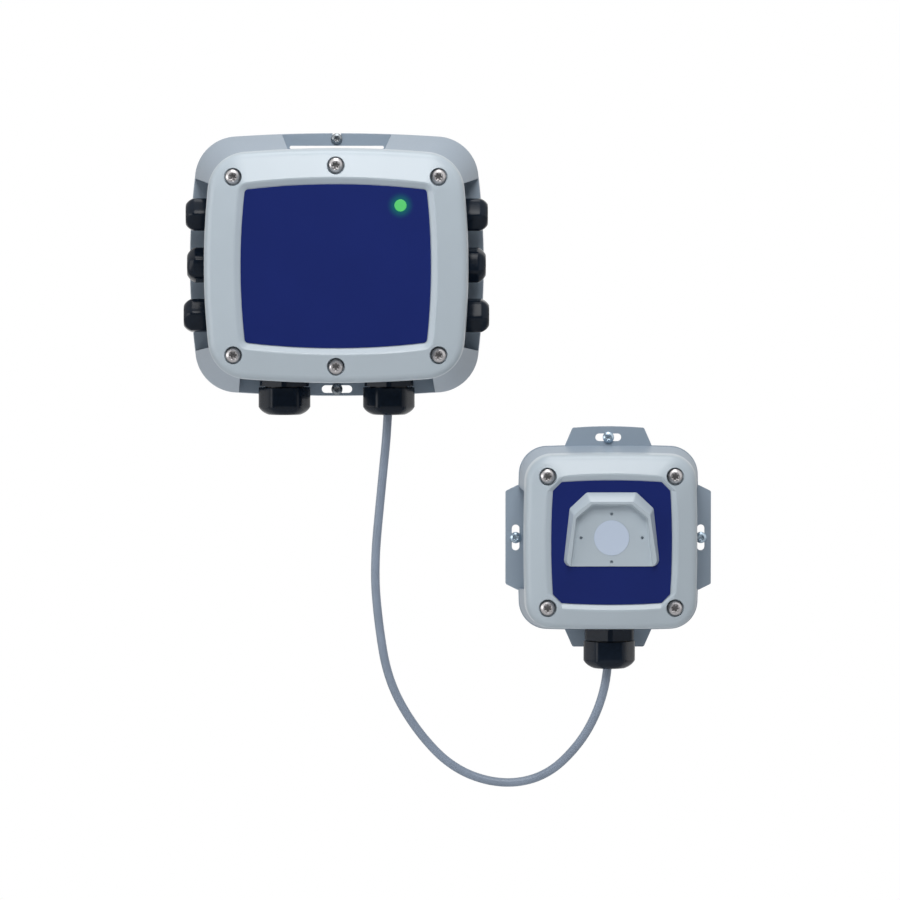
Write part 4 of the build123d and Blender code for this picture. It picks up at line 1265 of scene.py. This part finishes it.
@dataclass
class Studio:
    """Light tent of the photograph: bright above and at the left, dim on the camera's side.

    Places and sizes are in metres, and the lens in millimetres.
    """

    camera_at: tuple[float, float, float] = (0.0288, -3.4, 0.0387)
    camera_aim: tuple[float, float, float] = (0.0678, 0.0, -0.1113)
    lens: float = 226.7
    middle: tuple[float, float, float] = (0.08, -0.03, -0.1)
    floor_x: tuple[float, float] = (-1.6, 1.9)
    floor_y: tuple[float, float] = (-2.0, 0.5)
    floor_z: float = -0.45
    fill: float = 0.08
    card_y: float = -3.8
    card_half: float = 3.0
    card_glow: float = 0.1
    lamps: Sequence[Lamp] = (
        Lamp("top_front_lamp", azimuth=0, elevation=40, power=14.8),
        Lamp("overhead_lamp", azimuth=0, elevation=88, power=17.6),
        Lamp("near_front_lamp", azimuth=0, elevation=45, power=2.7, distance=0.9, size=0.5),
        Lamp("left_lamp", azimuth=-70, elevation=0, power=9.6),
        Lamp("rear_lamp", 180, 0, power=28.0, distance=2.6, size=1.0, mirrored=False),
    )

    def build(self) -> None:
        """Builds the whole studio."""
        self.build_camera()
        self.build_floor()
        self.build_card()
        self.build_world()
        for lamp in self.lamps:
            lamp.build(Vector(self.middle))
        bpy.context.scene.view_settings.view_transform = "Standard"

    def build_camera(self) -> None:
        """Places the camera where the photograph was taken from."""
        data = bpy.data.cameras.new("camera")
        data.sensor_width = 36.0
        data.lens = self.lens
        data.clip_end = 50.0
        camera = new_object("camera", data)
        camera.location = self.camera_at
        aim = Vector(self.camera_aim) - Vector(self.camera_at)
        camera.rotation_euler = aim.to_track_quat("-Z", "Y").to_euler()
        bpy.context.scene.camera = camera

    def build_floor(self) -> None:
        """Lays a pale floor below the hanging cable."""
        (left, right), (front, back) = self.floor_x, self.floor_y
        corners = [(left, front), (right, front), (right, back), (left, back)]
        paper = StudioSheet("pale_floor", "F4F5F6", weave_mm=3.0, swing=0.01, depth_mm=0.05)
        new_sheet("floor", [(x, y, self.floor_z) for x, y in corners], paper)

    def build_card(self) -> None:
        """Hangs a dim card behind the camera, which dark and bright surfaces reflect."""
        y, half = self.card_y, self.card_half
        corners = [(-half, y, -half), (half, y, -half), (half, y, half), (-half, y, half)]
        cloth = StudioSheet("dim_card", "202224", weave_mm=40.0, swing=0.1, glow=self.card_glow)
        card = new_sheet("front_card", corners, cloth)
        card.visible_camera = False

    def build_world(self) -> None:
        """Makes the surroundings white to the eye and in reflections, else a soft fill."""
        world = bpy.data.worlds.new("surroundings")
        world.use_nodes = True
        tree = world.node_tree
        tree.nodes.clear()
        path = add_node(tree, "ShaderNodeLightPath")
        seen = path.outputs["Is Camera Ray"]
        for name in ("Is Glossy Ray", "Is Transmission Ray"):
            seen = add_node(
                tree, "ShaderNodeMath", {"operation": "MAXIMUM"}, {0: seen, 1: path.outputs[name]}
            ).outputs[0]
        strength = add_node(
            tree,
            "ShaderNodeMapRange",
            inputs={"Value": seen, "To Min": self.fill, "To Max": 1.0},
        ).outputs["Result"]
        back = add_node(
            tree, "ShaderNodeBackground", inputs={"Color": (1, 1, 1, 1), "Strength": strength}
        )
        add_node(tree, "ShaderNodeOutputWorld", inputs={"Surface": back.outputs["Background"]})
        bpy.context.scene.world = world


def make_finishes() -> dict[str, bpy.types.Material]:
    """Builds every finish.

    Returns:
        The finishes, by the record's slot or by the name of one node.
    """
    kinds = {
        "housing_plastic": MouldedPlastic("textured_cover_plastic", "B8C4CD", 0.36, gloss=0.62),
        # Painted shade: the shells of both housings, which lie back by the wall, get a darker and
        # less glossy copy of the cover's plastic.
        "main_base": MouldedPlastic("base_plastic_painted_shade", "9AA8B6", 0.42, 0.9, gloss=0.3),
        "remote_base": MouldedPlastic("head_plastic_painted_shade", "9AA8B6", 0.42, 0.9, gloss=0.3),
        "label_film": PrintedFilm("printed_navy_film"),
        "main_front_label": PrintedFilm("printed_navy_film_lit", glow_at_mm=LIGHT_PIPE_AT),
        "gland_plastic": MouldedNylon("black_gland_nylon"),
        "plug_plastic": MouldedNylon("black_plug_nylon", "14181D", 0.4),
        "seal_rubber": SealRubber("black_seal_rubber"),
        # The cover screws' finishes get painted shade behind the heads' crowns, set by crown_mm.
        "main_cover_screws": BrightMetal(
            "stainless_main_screws", "C8C5C6", 0.32, crown_mm=MAIN_SEAT_DEPTH + COVER_HEAD_HEIGHT
        ),
        "remote_cover_screws": BrightMetal(
            "stainless_remote_screws", "C8C5C6", 0.32, crown_mm=HEAD_SEAT_DEPTH + COVER_HEAD_HEIGHT
        ),
        "zinc_screws": BrightMetal("bright_zinc_plate", "B4C6D4", 0.3),
        # Painted shade: the main housing's wall screws get a darker copy of the zinc plate, with
        # painted shade behind their crowns.
        "main_wall_screws": BrightMetal(
            "zinc_plate_painted_shade",
            "989EA3",
            0.3,
            crown_mm=FLANGE + WALL_HEAD_HEIGHT,
            painted_shade_colour="3E3835",
        ),
        "light_pipe_plastic": LitAcrylic("lit_clear_acrylic"),
        "lamp_plastic": LitAcrylic("lit_lamp_resin", strength=0.8),
        "board_laminate": BoardLaminate("green_board_laminate"),
        "terminal_plastic": MouldedPlastic("green_terminal_plastic", "2E7D45", 0.4, 0.4),
        "relay_plastic": MouldedPlastic("black_relay_plastic", "1A1B1E", 0.3, 0.5),
        "chip_plastic": MouldedPlastic("black_chip_moulding", "1E1E20", 0.6, 0.3),
        "radio_shield": BrightMetal("tinned_shield", "C9CACB", 0.3, mark_mm=1.0),
        "sounder_plastic": MouldedPlastic("black_sounder_plastic", "202022", 0.5, 0.4),
        "capacitor_can": BrightMetal("drawn_aluminium_can", "D2D4D8", 0.28),
        "cell_plastic": MouldedPlastic("white_cell_plastic", "E4E4DE", 0.45, 0.5),
        "membrane_film": PorousFilm("porous_filter_film"),
        "cable_jacket": ExtrudedJacket("grey_cable_jacket"),
        "core_insulation": MouldedPlastic("white_core_insulation", "DEDED8", 0.35, 0.5),
    }
    return {name: kind.build() for name, kind in kinds.items()}


def corner_places(
    half_width: float, half_height: float, x: float = 0.0, z: float = 0.0
) -> list[tuple[float, float]]:
    """The corners of an upright rectangle, in millimetres.

    Args:
        half_width: from its middle to a side.
        half_height: from its middle to its top.
        x: its middle, across.
        z: its middle, upwards.

    Returns:
        Across and up for each corner.
    """
    return [(x + sx * half_width, z + sz * half_height) for sx in (-1, 1) for sz in (-1, 1)]


def make_screws() -> list[CoverFastening | WallFastening]:
    """Sets out the cover screws and the wall screws of both housings.

    Returns:
        The four sets of screws.
    """
    middle_screws = [(0, -MAIN_MIDDLE_SCREW_Z), (0, MAIN_MIDDLE_SCREW_Z)]
    return [
        CoverFastening(
            "main_cover_screws",
            places=corner_places(MAIN_SCREW_X, MAIN_SCREW_Z) + middle_screws,
            depth=MAIN_SEAT_DEPTH,
            spins=(5, 40, 18, 52, 27, 11),
            shank_length=38.6,
        ),
        CoverFastening(
            "remote_cover_screws",
            places=corner_places(HEAD_SCREW_X, HEAD_SCREW_Z, HEAD_X, HEAD_Z),
            depth=HEAD_SEAT_DEPTH,
            spins=(33, 8, 47, 21),
            shank_length=28.0,
        ),
        WallFastening(
            "main_wall_screws",
            places=[(0.0, NOTCH_SCREW_Z), (0.0, SLOT_SCREW_Z)],
            spins=(12, 40),
        ),
        WallFastening(
            "remote_wall_screws",
            places=[
                (HEAD_X, HEAD_Z + TOP_EAR_REACH),
                (HEAD_X - SIDE_EAR_REACH, HEAD_Z),
                (HEAD_X + SIDE_EAR_REACH, HEAD_Z),
            ],
            spins=(5, 31, 50),
        ),
    ]


def side_nut_places() -> list[Matrix]:
    """Places of the six side nuts, by their outer ends.

    Returns:
        The places, from the top down on the left and then on the right.
    """
    return [
        facing.at(x, MAIN_GLAND_Y, z, spin)
        for facing, ends in SIDE_NUT_ENDS.items()
        for x, z, spin in zip(ends, SIDE_GLAND_Z, SIDE_NUT_SPINS)
    ]


def make_nuts() -> list[GlandNuts]:
    """Sets out the dome nuts of every gland.

    Returns:
        The three sets of nuts.
    """
    small = DomeNut(flat_r=9.7, corner_r=10.7, end_r=6.2, length=14.4, bore_r=8.1, mouth_r=4.6)
    large = DomeNut(flat_r=14.1, corner_r=15.6, end_r=9.8, length=16.3, bore_r=11.5, mouth_r=6.4)
    lower_places = [
        Facing.DOWN.at(-LOWER_GLAND_X, MAIN_GLAND_Y, LOWER_NUT_END, spin=28.0),
        Facing.DOWN.at(LOWER_GLAND_X, MAIN_GLAND_Y, LOWER_NUT_END, spin=26.0),
    ]
    head_place = Facing.DOWN.at(HEAD_X, HEAD_GLAND_Y, HEAD_NUT_END, spin=29.0)
    return [
        GlandNuts("side_gland_nuts", small, side_nut_places()),
        GlandNuts("lower_gland_nuts", large, lower_places),
        GlandNuts("remote_gland_nut", large, [head_place]),
    ]


def main() -> None:
    """Builds the scene, sub-assembly by sub-assembly."""
    logging.basicConfig(level=logging.INFO, format="%(name)s: %(message)s")
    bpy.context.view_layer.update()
    dressing = Dressing(make_finishes())
    dressing.dress()
    Studio().build()
    for part in [SensorCable(), *make_screws(), *make_nuts()]:
        log.info("built %s", part.build(dressing.finish_of(part.node)).name)


if __name__ == "__main__":
    main()
